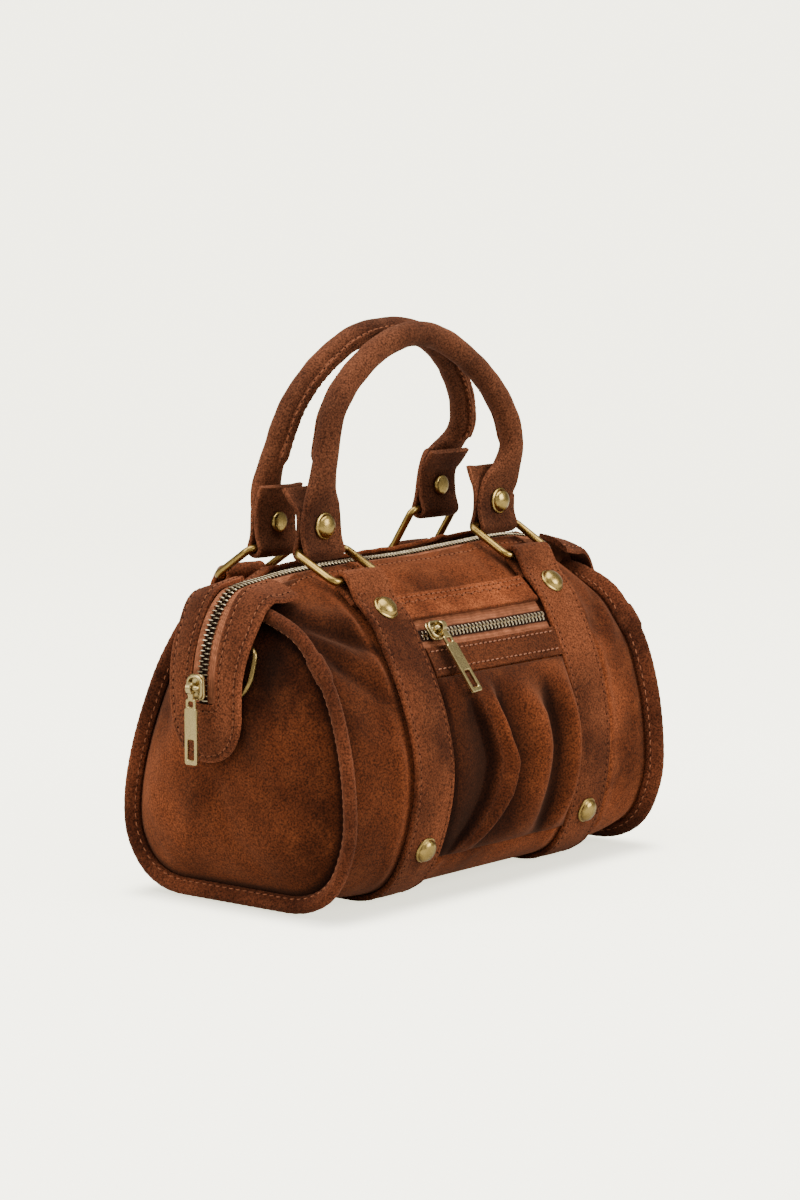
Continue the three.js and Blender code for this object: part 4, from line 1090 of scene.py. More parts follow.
def tape_material(name, colour):
    """Woven zip tape: fine ribs both ways on Object coordinates, darkened by the painted shade
    in the mesh's shade attribute.
    """
    material, tree, shader = new_material(name, {"Roughness": 0.9, "Specular IOR Level": 0.1})
    where = add_node(tree, "ShaderNodeTexCoord")
    weave = add_node(tree, "ShaderNodeGroup", node_tree=weave_group)
    weave.inputs["Colour"].default_value = colour
    tree.links.new(where.outputs["Object"], weave.inputs["Vector"])
    bump = add_node(
        tree, "ShaderNodeBump",
        {"Height": weave.outputs["Height"], "Strength": 0.6, "Distance": 0.0003})
    shade = add_node(tree, "ShaderNodeAttribute", attribute_name="shade")
    gain = ranged(tree, shade.outputs["Fac"], 0.0, 1.0, 1.0, 0.06)
    tinted = scaled(tree, weave.outputs["Colour"], gain)
    tree.links.new(tinted, shader.inputs["Base Color"])
    tree.links.new(bump.outputs[0], shader.inputs["Normal"])
    return material


tarnish_group, tarnish_in, tarnish_out = new_group(
    "brass_tarnish",
    (
        ("Vector", "NodeSocketVector", None),
        ("Bright", "NodeSocketColor", BRASS_COLOUR),
        ("Dark", "NodeSocketColor", BRASS_DARK),
        ("Amount", "NodeSocketFloat", 0.4),
    ),
    (("Colour", "NodeSocketColor"), ("Roughness", "NodeSocketFloat"), ("Height", "NodeSocketFloat")),
)
tarnish_clouds = add_node(
    tarnish_group, "ShaderNodeTexNoise",
    {"Vector": tarnish_in.outputs["Vector"], "Scale": 180.0, "Detail": 5.0, "Roughness": 0.6})
tarnish_specks = add_node(
    tarnish_group, "ShaderNodeTexNoise",
    {"Vector": tarnish_in.outputs["Vector"], "Scale": 1100.0, "Detail": 3.0, "Roughness": 0.6})
tarnish_share = ranged(tarnish_group, tarnish_clouds.outputs[0], 0.42, 0.68, 0.0, 1.0)
tarnish_share = maths(tarnish_group, "MULTIPLY", tarnish_share, tarnish_in.outputs["Amount"])
tarnish_colour = mix_colours(
    tarnish_group, tarnish_share, tarnish_in.outputs["Bright"], tarnish_in.outputs["Dark"])
tarnish_rough = maths(
    tarnish_group, "ADD",
    ranged(tarnish_group, tarnish_clouds.outputs[0], 0.35, 0.7, 0.20, 0.36),
    ranged(tarnish_group, tarnish_specks.outputs[0], 0.3, 0.7, -0.04, 0.08))
tarnish_group.links.new(tarnish_colour, tarnish_out.inputs["Colour"])
tarnish_group.links.new(tarnish_rough, tarnish_out.inputs["Roughness"])
tarnish_group.links.new(tarnish_specks.outputs[0], tarnish_out.inputs["Height"])


def brass_material(name, bright=BRASS_COLOUR, dark=BRASS_DARK, amount=0.4, pitting=0.12):
    """Antique brass: clouds of tarnish, uneven gloss and a faint pitting."""
    material, tree, shader = new_material(name, {"Metallic": 1.0})
    where = add_node(tree, "ShaderNodeTexCoord")
    tarnish = add_node(tree, "ShaderNodeGroup", node_tree=tarnish_group)
    tarnish.inputs["Bright"].default_value = bright
    tarnish.inputs["Dark"].default_value = dark
    tarnish.inputs["Amount"].default_value = amount
    tree.links.new(where.outputs["Object"], tarnish.inputs["Vector"])
    bump = add_node(
        tree, "ShaderNodeBump",
        {"Height": tarnish.outputs["Height"], "Strength": pitting, "Distance": 0.0001})
    tree.links.new(tarnish.outputs["Colour"], shader.inputs["Base Color"])
    tree.links.new(tarnish.outputs["Roughness"], shader.inputs["Roughness"])
    tree.links.new(bump.outputs[0], shader.inputs["Normal"])
    return material


tape_woven = tape_material("tape_woven", TAPE_COLOUR)
brass = brass_material("brass_antique")
tooth_brass = brass_material("brass_teeth", TOOTH_COLOUR, TOOTH_DARK, 0.55)
zip_tape_parts, zip_tape_painted_shade = tape_skin()
make_piece(
    "zip_tape_woven", zip_tape_parts, tape_woven, zip_tape_painted_shade, nodes=("zip_tape",))
wing_parts = joined([tape_wing(end, side) for end, end_name in END_NAMES for side in (-1, 1)])
wing_painted_shade = np.full(len(wing_parts[0]), WING_SHADE)
make_piece("zip_tape_wings", wing_parts, tape_woven, wing_painted_shade)
tooth_path = zip_line(400)
tooth_frames = frames(tooth_path, (0, 1, 0))
make_piece(
    "zip_teeth",
    teeth_skin(tooth_path, tooth_frames[2], TOOTH_PITCH, TOOTH_LONG, TOOTH_REACH, TOOTH_PAST,
               TAPE_THICK / 2, TOOTH_TALL),
    tooth_brass, sharp=30, nodes=("zip_chain",))

# Zip tabs.
# A strip of two suede layers lies over each end, slotted for the zip, rounded at its foot and sewn
# twice round, with raw edges.
TAB_THICK = 2.6
TAB_SLOT_END = 8
# Out along the bag, height, half width and how far the sides fall
TAB_ROWS = np.array([
    (97, 140, 24, 6.6), (101, 139.2, 24, 6.3), (105.5, 138.4, 23.8, 6), (112, 137, 23.4, 4.4),
    (117.8, 132.6, 23, 3.6), (123, 123.8, 22.4, 3), (127.6, 112.5, 21.4, 2), (130, 100, 20.4, 1.2),
    (129.8, 89, 20, 0.8), (129.2, 80, 19.2, 0.6), (128.6, 73, 16.5, 0.4), (128.2, 68, 12.5, 0.2),
    (127.9, 65, 7.5, 0), (127.8, 63.6, 2, 0),
], float)
TAB_SLOT_HALF = 6.6
TAB_SLOT_CORNER = 2.5
TAB_FOOT = 5
TAB_STITCH_INSET = 2.9
tab_gone = distance_gone(TAB_ROWS[:, :2])
tab_dense = smooth_line(np.column_stack([TAB_ROWS[:, :2], tab_gone]), 400)
TAB_LONG = tab_gone[-1]


def tab_side(down):
    """The strip's side view, so far down its length: out along the bag, and height."""
    return [np.interp(down, tab_dense[:, 2], tab_dense[:, column]) for column in (0, 1)]


def tab_point(end, y, down, off):
    """The tab's middle surface, so far down its length: the strip's side view carried across, its
    sides falling by the square of their distance from the middle."""
    x, z = tab_side(down)
    half = np.interp(down, tab_gone, TAB_ROWS[:, 2])
    drop = np.interp(down, tab_gone, TAB_ROWS[:, 3])
    small = 0.5
    run_x, run_z = np.subtract(tab_side(down + small), tab_side(down - small))
    out = unit(np.stack([-run_z, run_x], axis=-1))
    away = off - drop * (y / half) ** 2
    height = lifted(end * x, z) + out[..., 1] * away
    return np.stack([end * (x + out[..., 0] * away), y, height], axis=-1)


def tab_edges(count):
    """The slot's edge and the tab's outer edge as matching lines of depth and length down: both run
    down one side, round the foot and up the other."""
    slot_end = tab_gone[TAB_SLOT_END]
    corner = np.radians(np.linspace(0, 90, 7))
    round_from = slot_end - TAB_SLOT_CORNER
    side_slot = np.stack([np.full(30, TAB_SLOT_HALF), np.linspace(0, round_from, 30)], axis=-1)
    corner_slot = np.stack([
        TAB_SLOT_HALF - TAB_SLOT_CORNER + TAB_SLOT_CORNER * np.cos(corner),
        round_from + TAB_SLOT_CORNER * np.sin(corner),
    ], axis=-1)
    foot_slot = np.array([(0.0, slot_end)])
    half_slot = np.concatenate([side_slot, corner_slot, foot_slot])
    edge = smooth_line(np.column_stack([TAB_ROWS[:, 2], tab_gone]), 160)
    edge = np.concatenate([edge, [(0.0, TAB_LONG + 0.15)]])

    def matched(line, split):
        upper = line[line[:, 1] <= split]
        lower = line[line[:, 1] >= split - 1e-6]
        share = np.linspace(0, 1, count)
        gone = [distance_gone(part) for part in (upper, lower)]
        return np.concatenate([
            read_at(share * g[-1], g, part) for part, g in zip((upper, lower), gone)])

    slot_line = matched(half_slot, round_from)
    edge_line = matched(edge, slot_end + TAB_FOOT)
    flip = np.array([-1, 1])
    return (np.concatenate([slot_line, slot_line[-2::-1] * flip]),
            np.concatenate([edge_line, edge_line[-2::-1] * flip]))


def tab_skin(end):
    """A horseshoe grid from the slot's edge to the outer edge, rounded at both edges, with a shallow
    channel under each row of stitches."""
    inner_line, outer_line = tab_edges(70)
    width = np.linalg.norm(outer_line - inner_line, axis=1)
    share = np.array([
        0, 0.015, 0.05, 0.1, 0.17, 0.24, 0.32, 0.42, 0.5,
        0.58, 0.68, 0.76, 0.83, 0.9, 0.95, 0.985, 1])
    spot = inner_line[:, None] + (outer_line - inner_line)[:, None] * share[None, :, None]
    from_edge = np.minimum(share, 1 - share)[None] * width[:, None]
    round_off = 0.55 * (1 - step_up(from_edge, 0, 0.9))
    channel = 0.28 * hump(from_edge, TAB_STITCH_INSET, 0.9)
    uneven = waver(np.concatenate([spot, 0 * spot[..., :1]], -1), 17)
    bulge = 0.25 * step_up(from_edge, 2.5, 6) + 0.12 * uneven
    outer = tab_point(end, spot[..., 0], spot[..., 1], TAB_THICK / 2 - round_off - channel + bulge)
    inner = tab_point(end, spot[..., 0], spot[..., 1], -TAB_THICK / 2 + round_off)
    # Painted shade in the stitch channels; the raw edges lighter
    tone = 0.2 * hump(from_edge, TAB_STITCH_INSET, 0.9) - 0.55 * (1 - step_up(from_edge, 0.1, 0.6))
    return slab(outer, inner), both_faces(tone)


def tab_rows(end):
    """One row of stitches inside the outer edge and one beside the slot."""
    inner_line, outer_line = tab_edges(160)
    width = np.linalg.norm(outer_line - inner_line, axis=1)[:, None]
    run = outer_line - inner_line
    rows = []
    for share, way in ((TAB_STITCH_INSET / width, -1), (1 - TAB_STITCH_INSET / width, 1)):
        spot = inner_line + run * share
        row = tab_point(end, spot[:, 0], spot[:, 1], TAB_THICK / 2 - 0.1)
        above = tab_point(end, spot[:, 0], spot[:, 1], TAB_THICK / 2 + 0.9)
        rows.append((row, above - row, way))
    return rows


tab_suede = suede_material(
    "suede_tabs", gain=0.86, brushed=0.4, shift=(0.07, 0.29, 0.61), tint=(1.0, 1.16, 1.5))
for end, end_name in END_NAMES:
    tab_parts, tab_tone = tab_skin(end)
    make_piece(
        f"zip_tab_{end_name}_suede", tab_parts, tab_suede, tab_tone, nodes=(f"zip_tab_{end_name}",))
    sew(f"zip_tab_{end_name}", tab_rows(end), suede_thread)

# Zip slider and its pull.
# Cast brass: a rounded plate with a bridge on two posts, and a flat pull whose eye turns on the
# bridge's bar, with a window near its lower end.
PULL_AXIS = 3
PULL_WIDE, PULL_THICK, PULL_LONG = 7, 1.6, 33
PULL_EYE, PULL_BORE, PULL_NECK, PULL_SHOULDER = 2.6, 1.6, 2.8, -5
WINDOW_WIDE, WINDOW_LONG, WINDOW_EDGE = 3.8, 8.5, 2.2
# Along the pull's bar and across it
ZIP_SLIDER, POCKET_SLIDER = (9, 11), (11, 9)
SLIDER_PLATE = 1.4
POST_X = 2.8
BAR_RADIUS = 0.7
RIM_RADIUS = 0.8
PULL_BEVEL = 0.35
PULL_COLOUR = (0.50, 0.385, 0.165, 1)
PULL_DARK = (0.34, 0.25, 0.095, 1)


def rounded_outline(wide, long, corner, per_corner=6):
    """A rectangle with round corners, as one closed line about its middle."""
    turn = np.radians(np.linspace(0, 90, per_corner))
    quarters = []
    for quarter, (sx, sy) in enumerate(((1, 1), (-1, 1), (-1, -1), (1, -1))):
        angle = turn + quarter * np.pi / 2
        middle = np.array([sx * (wide / 2 - corner), sy * (long / 2 - corner)])
        quarters.append(middle + corner * np.stack([np.cos(angle), np.sin(angle)], axis=-1))
    return np.concatenate(quarters)


def cushion_block(wide, long, low, high, corner, bevel, middle=(0, 0)):
    """A rounded plate with bevelled edges: its outline at four levels, drawn in at the ends."""
    levels = ((low, bevel), (low + bevel, 0), (high - bevel, 0), (high, bevel))
    sections = []
    for level, inset in levels:
        outline = rounded_outline(wide - 2 * inset, long - 2 * inset, max(corner - inset, 0.05))
        sections.append(np.column_stack([outline + np.asarray(middle), np.full(len(outline), level)]))
    return loft(np.stack(sections))


def closed_even(outline, count):
    """A closed outline read again at even steps."""
    return spaced(np.concatenate([outline, outline[:1]]), count)[0]


def wire_skin(outline, radius, level=0.0, sides=14):
    """Round wire along a closed flat outline at one level."""
    turn = np.linspace(0, 2 * np.pi, sides + 1)[:-1]
    shape = radius * np.stack([np.cos(turn), np.sin(turn)], axis=-1)
    path = np.column_stack([outline, np.full(len(outline), level)])
    return sweep(path, (0, 0, 1), shape, ring=True)


def slider_skin(wide, long):
    """The slider made flat: plate, oval rim, cheeks, two posts and the bar; its bar lies along x."""
    bar_turn = np.linspace(0, 2 * np.pi, 13)[:-1]
    bar_shape = BAR_RADIUS * np.stack([np.cos(bar_turn), np.sin(bar_turn)], axis=-1)
    rise = ((POST_X, 0.2), (POST_X, 2.0), (2.2, PULL_AXIS))
    arch = [(-x, 0, z) for x, z in rise] + [(x, 0, z) for x, z in rise[::-1]]
    ribbon = bar_shape * np.array([1.35, 1.0])
    inset = 2 * RIM_RADIUS
    rim = rounded_outline(wide - inset, long - inset, min(wide, long) / 2 - inset)
    return joined([
        cushion_block(wide, long, -SLIDER_PLATE, 0, 2.4, 0.35),
        wire_skin(closed_even(rim, 60), RIM_RADIUS, level=RIM_RADIUS - 0.1),
        sweep(smooth_line(arch, 40), (0, 1, 0), ribbon),
        cushion_block(1.9, 2.6, 0.1, 1.4, 0.7, 0.3, (-POST_X, 0)),
        cushion_block(1.9, 2.6, 0.1, 1.4, 0.7, 0.3, (POST_X, 0)),
    ])


def framed_plate(wide, top, bottom, window_wide, window_top, window_bottom, half):
    """A bevelled plate with a window, lofted as a ring from the window's outline over the front to
    the plate's and round the back."""
    bevel = PULL_BEVEL
    plate = (np.array([0, (top + bottom) / 2]), wide, top - bottom, 1.05)
    window_middle = np.array([0, (window_top + window_bottom) / 2])
    window = (window_middle, window_wide, window_top - window_bottom, 0.5)
    levels = (
        (window, 0, -half + bevel), (window, 0, half - bevel),
        (window, 2 * bevel, half), (plate, -2 * bevel, half),
        (plate, 0, half - bevel), (plate, 0, -half + bevel),
        (plate, -2 * bevel, -half), (window, 2 * bevel, -half),
    )
    rings = []
    for (middle, across, tall, corner), grown, level in levels:
        outline = rounded_outline(across + grown, tall + grown, corner + grown / 2) + middle
        rings.append(np.column_stack([outline, np.full(len(outline), level)]))
    return loft(np.stack(rings, axis=1), ring=True)


def pull_skin():
    """The pull made flat, hanging to -y from its eye: a small frame below the neck, the plate with
    its window, and an eye lofted as a ring."""
    half = PULL_THICK / 2
    head = framed_plate(
        PULL_WIDE - 1.4, PULL_SHOULDER + 0.4, PULL_SHOULDER - 4.2, 2.8,
        PULL_SHOULDER - 0.8, PULL_SHOULDER - 3.1, half - 0.1)
    plate = framed_plate(
        PULL_WIDE, PULL_SHOULDER - 3.6, -PULL_LONG, WINDOW_WIDE,
        WINDOW_EDGE + WINDOW_LONG - PULL_LONG, WINDOW_EDGE - PULL_LONG, half)
    turn = np.linspace(0, 2 * np.pi, 29)[:-1]
    side = np.array([
        (-1.4, PULL_BORE + 0.15), (-1.15, PULL_BORE), (1.15, PULL_BORE), (1.4, PULL_BORE + 0.15),
        (1.4, PULL_EYE - 0.3), (1.1, PULL_EYE), (-1.1, PULL_EYE), (-1.4, PULL_EYE - 0.3)])
    eye = np.stack([
        np.broadcast_to(side[None, :, 0], (len(turn), len(side))),
        side[None, :, 1] * np.cos(turn)[:, None],
        side[None, :, 1] * np.sin(turn)[:, None],
    ], axis=-1)
    neck_top, neck_foot = -PULL_BORE - 0.3, PULL_SHOULDER - 0.2
    neck_middle = (0, (neck_top + neck_foot) / 2)
    neck = cushion_block(PULL_NECK, neck_top - neck_foot, -0.72, 0.72, 0.5, 0.25, neck_middle)
    return joined([head, plate, loft(eye, ring=True), neck])


def seated(skin, place, bar, out):
    """A flat-made skin turned so that its x lies along bar and its z along out."""
    points, faces = skin
    bar, out = unit(np.asarray(bar, float)), unit(np.asarray(out, float))
    basis = np.stack([bar, np.cross(out, bar), out])
    return points @ basis + np.asarray(place), faces


def joint_place(name):
    """A joint's axis point in the drawing."""
    found = next(joint for joint in frame["joints"] if joint["name"] == name)
    return np.array(found["pos_m"]) / MM - DRAWING_ORIGIN


SLIDER_SHARE = 0.022
slider_spot = int(SLIDER_SHARE * len(tooth_path))
slider_out = tooth_frames[2][slider_spot]
pull_axis_place = joint_place("zip_pull_swing")
pull_brass = brass_material("brass_pulls", PULL_COLOUR, PULL_DARK, amount=0.2, pitting=0.03)
slider_place = pull_axis_place - slider_out * PULL_AXIS
make_piece(
    "zip_slider_cast", seated(slider_skin(*ZIP_SLIDER), slider_place, (0, -1, 0), slider_out),
    pull_brass, sharp=35, nodes=("zip_slider",))
make_piece(
    "zip_pull_cast", seated(pull_skin(), pull_axis_place, (0, -1, 0), (-1, 0, 0)),
    pull_brass, sharp=35, body="zip_pull", nodes=("zip_pull",))

# Straps.
# Two suede layers sewn along each edge: each strap is folded round a ring at the front, runs
# down, under the base and up the back, and is folded round the other ring.
STRAP_THICK = 2.4
RING_WIRE = 3.5
LOOP_RADIUS = RING_WIRE / 2 + 0.3 + STRAP_THICK / 2
STRAP_LAYER = STRAP_THICK / 2 + 0.3
HALF_PAIR = (STRAP_THICK + 0.3) / 2
# Height, stand and taper of the loops at the front and the back
LOOPS = {-1: (134, 5.4, 12), 1: (128, 11, 30)}
LOOP_LONG = 27
RETURN_LONG = 11
STRAP_FOOT_HEIGHT = 98


def flat_normal(strap_x, wrap):
    """The body's outward direction under a strap, square to the bag's length."""
    return unit(body_normal(strap_x, wrap) * np.array([0, 1, 1]))


def strap_base(strap_x, wrap, off):
    """A point so far above the highest of the body across the strap's width."""
    wrap = np.asarray(wrap, float)
    normal = flat_normal(strap_x, wrap)
    places = np.stack([body_point(strap_x + share * STRAP_WIDTH, wrap) for share in (-0.5, 0, 0.5)])
    places[..., 0] = strap_x
    rise = (places * normal).sum(-1)
    best = np.take_along_axis(places, rise.argmax(0)[None, ..., None], axis=0)[0]
    return best + normal * np.asarray(off, float)[..., None]


def loop_at(strap_x, side):
    """Where a strap's loop holds its ring: the wrap, the outward direction and the bar's middle."""
    height, stand, _ = LOOPS[side]
    wrap = side * wrap_at(height)
    return wrap, flat_normal(strap_x, wrap), strap_base(strap_x, wrap, stand)


def loop_layer(strap_x, side, distance, upper):
    """The middle of a strap's upper or lower layer, so far down from the bar: the pair closes from
    the ring's stand to lie flat on the body within the taper."""
    _, stand, taper = LOOPS[side]
    wrap, _, _ = loop_at(strap_x, side)
    small = 1e-3
    step = body_point(strap_x, wrap) - body_point(strap_x, wrap - side * small)
    per_mm = small / np.linalg.norm(step)
    distance = np.asarray(distance, float)
    opened = np.maximum(0, 1 - distance / taper)
    opened = opened * opened * (3 - 2 * opened) * 0.4 + opened * 0.6
    middle = STRAP_LAYER + HALF_PAIR + (stand - STRAP_LAYER - HALF_PAIR) * opened
    half = HALF_PAIR + (LOOP_RADIUS - HALF_PAIR) * opened
    return strap_base(strap_x, wrap - side * distance * per_mm, middle + half * (1 if upper else -1))


def loop_path(strap_x, side):
    """One end of a strap, from the end of its return layer round the bar and down to the body."""
    _, normal, bar = loop_at(strap_x, side)
    lower = loop_layer(strap_x, side, np.linspace(RETURN_LONG, 1.5, 7), False)
    upslope = np.cross(normal, (1, 0, 0)) * -side
    turn = np.radians(np.linspace(-90, 90, 15))[:, None]
    around = bar + LOOP_RADIUS * (np.sin(turn) * normal + np.cos(turn) * upslope)
    upper = loop_layer(strap_x, side, np.linspace(1.5, LOOP_LONG, 16), True)
    return np.concatenate([lower, around, upper])


def strap_path(strap_x):
    """A strap's whole run at even steps: front loop, front, base, back and back loop."""
    top = wrap_at(STRAP_FOOT_HEIGHT)
    run = strap_base(strap_x, np.linspace(-top, top, 90), STRAP_LAYER)
    path = np.concatenate([loop_path(strap_x, -1), run, loop_path(strap_x, 1)[::-1]])
    return smooth_line(path, 420)


STRAP_STITCH_IN = 2.6
STRAP_SCALLOP = 0.2
STRAP_THREAD = (0.15, 0.047, 0.02, 1)
STRAP_SEWN_FROM = 31


def strap_section(gone):
    """The strap's outline across and out at each point of its run: flat, crowned between its
    stitch rows, sunk along them, its edges round with a groove between the layers and drawn in a
    little at every stitch."""
    half = STRAP_WIDTH / 2
    across = np.concatenate([
        np.linspace(-1, -0.93, 4), np.linspace(-0.9, 0.9, 23), np.linspace(0.93, 1, 4)])
    edge = (1 - np.abs(across)) * half
    top = STRAP_THICK / 2 * round_edge(edge, 0.9, 0.03)
    sunk = 0.2 * hump(edge, STRAP_STITCH_IN, 0.8)
    crown = 0.18 * step_up(edge, 5, 10)
    upper = np.stack([across * half, top - sunk + crown], axis=-1)
    lower = np.stack([across * half, -top], axis=-1)[::-1]
    outline = np.concatenate([upper, lower])
    scallop = 1 - STRAP_SCALLOP / half * (0.5 + 0.5 * np.cos(2 * np.pi * gone / STITCH_PITCH))
    shape = np.broadcast_to(outline, (len(gone),) + outline.shape).copy()
    shape[..., 0] *= scallop[:, None]
    return shape, np.concatenate([edge, edge[::-1]])


def strap_skin(strap_x):
    """The strap's section carried along its run; out faces away from the body."""
    path = strap_path(strap_x)
    gone = np.linspace(0, path_length(path), len(path))
    shape, edge = strap_section(gone)
    tone = -0.45 * (1 - step_up(edge, 0.1, 0.6))
    skin = sweep(path, (1, 0, 0), shape)
    return skin, np.broadcast_to(tone, shape.shape[:2]).ravel()


def strap_rows(strap_x):
    """A row of stitches along each edge of the outer face, and one across the strap below each fold,
    where the return layer is sewn in."""
    path = strap_path(strap_x)
    _, wide, out = frames(path, (1, 0, 0))
    face = path + out * (STRAP_THICK / 2 - 0.12)
    gone = np.linspace(0, path_length(path), len(path))
    sewn = (gone > STRAP_SEWN_FROM) & (gone < gone[-1] - STRAP_SEWN_FROM)
    rows = []
    inner = STRAP_WIDTH / 2 - STRAP_STITCH_IN
    for side in (-1, 1):
        rows.append(((face + wide * side * inner)[sewn], out[sewn], side))
    across = np.linspace(-inner, inner, 12)
    for spot in (np.flatnonzero(sewn)[0], np.flatnonzero(sewn)[-1]):
        outs = np.repeat(out[[spot]], len(across), axis=0)
        rows.append((face[spot] + wide[spot] * across[:, None], outs, 1))
    return rows


strap_suede = suede_material(
    "suede_straps", gain=0.86, brushed=0.45, shift=(0.52, 0.11, 0.33), pile=0.4, tint=(1.0, 1.12, 1.35))
strap_thread = thread_material("thread_straps", STRAP_THREAD)
for end, end_name in END_NAMES:
    strap_parts, strap_tone = strap_skin(end * STRAP_X)
    make_piece(
        f"strap_{end_name}_suede", strap_parts, strap_suede, strap_tone, nodes=(f"strap_{end_name}",))
    sew(f"strap_{end_name}", strap_rows(end * STRAP_X), strap_thread)

# Rings.
# Four rectangular rings of round brass wire with bent corners, each held in a strap's loop and
# leaning towards the handle that is folded round its upper bar.
RING_WIDE, RING_LONG, RING_CORNER = 36, 28, 3
RING_REACH = RING_LONG - RING_WIRE
# End, side, lean and how far aside in its loop
RINGS = {
    "front_left": (-1, -1, 27, -0.9),
    "front_right": (1, -1, 30, 0.9),
    "back_left": (-1, 1, 33, -0.9),
    "back_right": (1, 1, 57, 0.9),
}
ring_outline = closed_even(
    rounded_outline(RING_WIDE - RING_WIRE, RING_LONG - RING_WIRE, RING_CORNER, 9), 130)
upper_bars = {}
for ring_name, (end, side, lean, aside) in RINGS.items():
    lower_bar = loop_at(end * STRAP_X, side)[2] + np.array([aside, 0, 0])
    tilt = np.radians(lean)
    towards = np.array([0, -side * np.cos(tilt), np.sin(tilt)])
    ring_out = np.cross((1, 0, 0), towards)
    ring_middle = lower_bar + towards * RING_REACH / 2
    make_piece(
        f"ring_{ring_name}_brass",
        seated(wire_skin(ring_outline, RING_WIRE / 2), ring_middle, (1, 0, 0), ring_out),
        brass, sharp=60, nodes=(f"ring_{ring_name}",))
    upper_bars[ring_name] = lower_bar + towards * RING_REACH + np.array([aside, 0, 0])

# Handles.
# Suede rolled round a cord and sewn along a raw-edged fin on its inner side; each end is pressed
# flat, folded under its ring's bar and riveted, with the free end standing up behind.
HANDLE_RADIUS = 5.6
HANDLE_TAB_HALF = 13
HANDLE_TAB_THICK = 2.6
HANDLE_FOLD = HANDLE_TAB_THICK / 2 + RING_WIRE / 2 + 0.3
HANDLE_PAIR = (HANDLE_TAB_THICK + 0.3) / 2
HANDLE_RIVET_RISE = 11
PRESSED_FROM, PRESSED_TO = 6.2, 17.6
HANDLE_EAR = 1.0
HANDLE_FLARE = 1.0
TUBE_EASE = 9
fold_turn = np.radians(np.linspace(-80, 80, 9))
fold_rows = np.zeros((len(fold_turn), 5))
fold_rows[:, 0] = HANDLE_FOLD * np.sin(fold_turn)
fold_rows[:, 1] = -HANDLE_FOLD * np.cos(fold_turn)
# Outward of the bar, up, how round the section is, and its shares of the leg's sideways sway and of
# the free end's inward lean
TAB_LINE = np.concatenate([
    [(-HANDLE_PAIR, 27, 0, 0, 1), (-HANDLE_PAIR, 21.5, 0, 0, 0.42),
     (-HANDLE_PAIR, PRESSED_TO, 0, 0, 0), (-HANDLE_PAIR, PRESSED_FROM, 0, 0, 0)],
    fold_rows,
    [(HANDLE_PAIR, PRESSED_FROM, 0, 0, 0), (HANDLE_PAIR, PRESSED_TO, 0, 0.2, 0),
     (HANDLE_PAIR + 0.8, 22, 0.4, 0.5, 0), (HANDLE_PAIR + 1.5, 28, 0.85, 0.8, 0)],
])
# Where the legs of the arch stand at these heights
ARCH_HEIGHTS = np.array([191, 204, 218, 232, 241])
ARCH_EASE = 0.7
# Side, top, and for the left and right leg its sway, its free end's lean and its places
HANDLES = {
    "front": (-1, (0, -10, 243), (
        (2.5, 7, (-60.4, -59.2, -51.4, -34.8, -15)), (9, 3.2, (72.6, 66.4, 54.2, 34.2, 14)))),
    "back": (1, (5, 9, 244.3), (
        (3, 3.2, (-62.2, -60.4, -52.8, -37, -20.5)), (14, 7, (78.5, 73.2, 62.9, 46.9, 28.5)))),
}


def handle_line(name):
    """A handle's middle line with its roundness and width direction: tab, arch and tab."""
    side, top, leg_rows = HANDLES[name]
    legs = []
    for (end, end_name), (sway, lean, places) in zip(END_NAMES, leg_rows):
        bar = upper_bars[f"{name}_{end_name}"]
        out, up, roundness, sway_share, lean_share = TAB_LINE.T
        out = out - lean_share * lean
        tab = np.stack([bar[0] + end * sway_share * sway, bar[1] + side * out, bar[2] + up], axis=-1)
        foot = tab[-1]
        rise = ((ARCH_HEIGHTS - foot[2]) / (top[2] - foot[2])) ** ARCH_EASE
        arch = np.stack([places, foot[1] + (top[1] - foot[1]) * rise, ARCH_HEIGHTS], axis=-1)
        rows = np.concatenate([tab, arch])
        extra = np.concatenate([roundness, np.ones(len(arch))])
        flat = np.concatenate([np.ones(len(tab)), np.zeros(len(arch))])
        legs.append(np.column_stack([rows, extra, flat * end]))
    return np.concatenate([legs[0], [(*top, 1, 0)], legs[1][::-1]])


def softened(values, reach=7):
    """A row of numbers averaged with its neighbours, twice, its ends held."""
    for _ in range(2):
        held = np.pad(values, reach, mode="edge")
        values = np.convolve(held, np.ones(2 * reach + 1) / (2 * reach + 1), mode="valid")
    return values


def handle_path(name, count=400):
    """The line read at even steps, with roundness and width directions interpolated along it."""
    rows = handle_line(name)
    path = smooth_line(rows[:, :3], count * 6)
    gone = distance_gone(path)
    marks = np.array([gone[np.linalg.norm(path - row, axis=1).argmin()] for row in rows[:, :3]])
    at = np.linspace(0, gone[-1], count)
    path = read_at(at, gone, path)
    marks = np.maximum.accumulate(marks + np.arange(len(marks)) * 1e-6)
    roundness = softened(np.interp(at, marks, rows[:, 3]))
    eased = np.stack([softened(column, TUBE_EASE) for column in path.T], axis=-1)
    path = path + (eased - path) * roundness[:, None]
    flat = np.interp(at, marks, rows[:, 4])
    along = unit(np.gradient(path, axis=0))
    arch_wide = np.cross((0, 1, 0), along)
    wide = arch_wide * (1 - np.abs(flat))[:, None] - np.outer(flat, (1, 0, 0))
    return path, wide, roundness, at


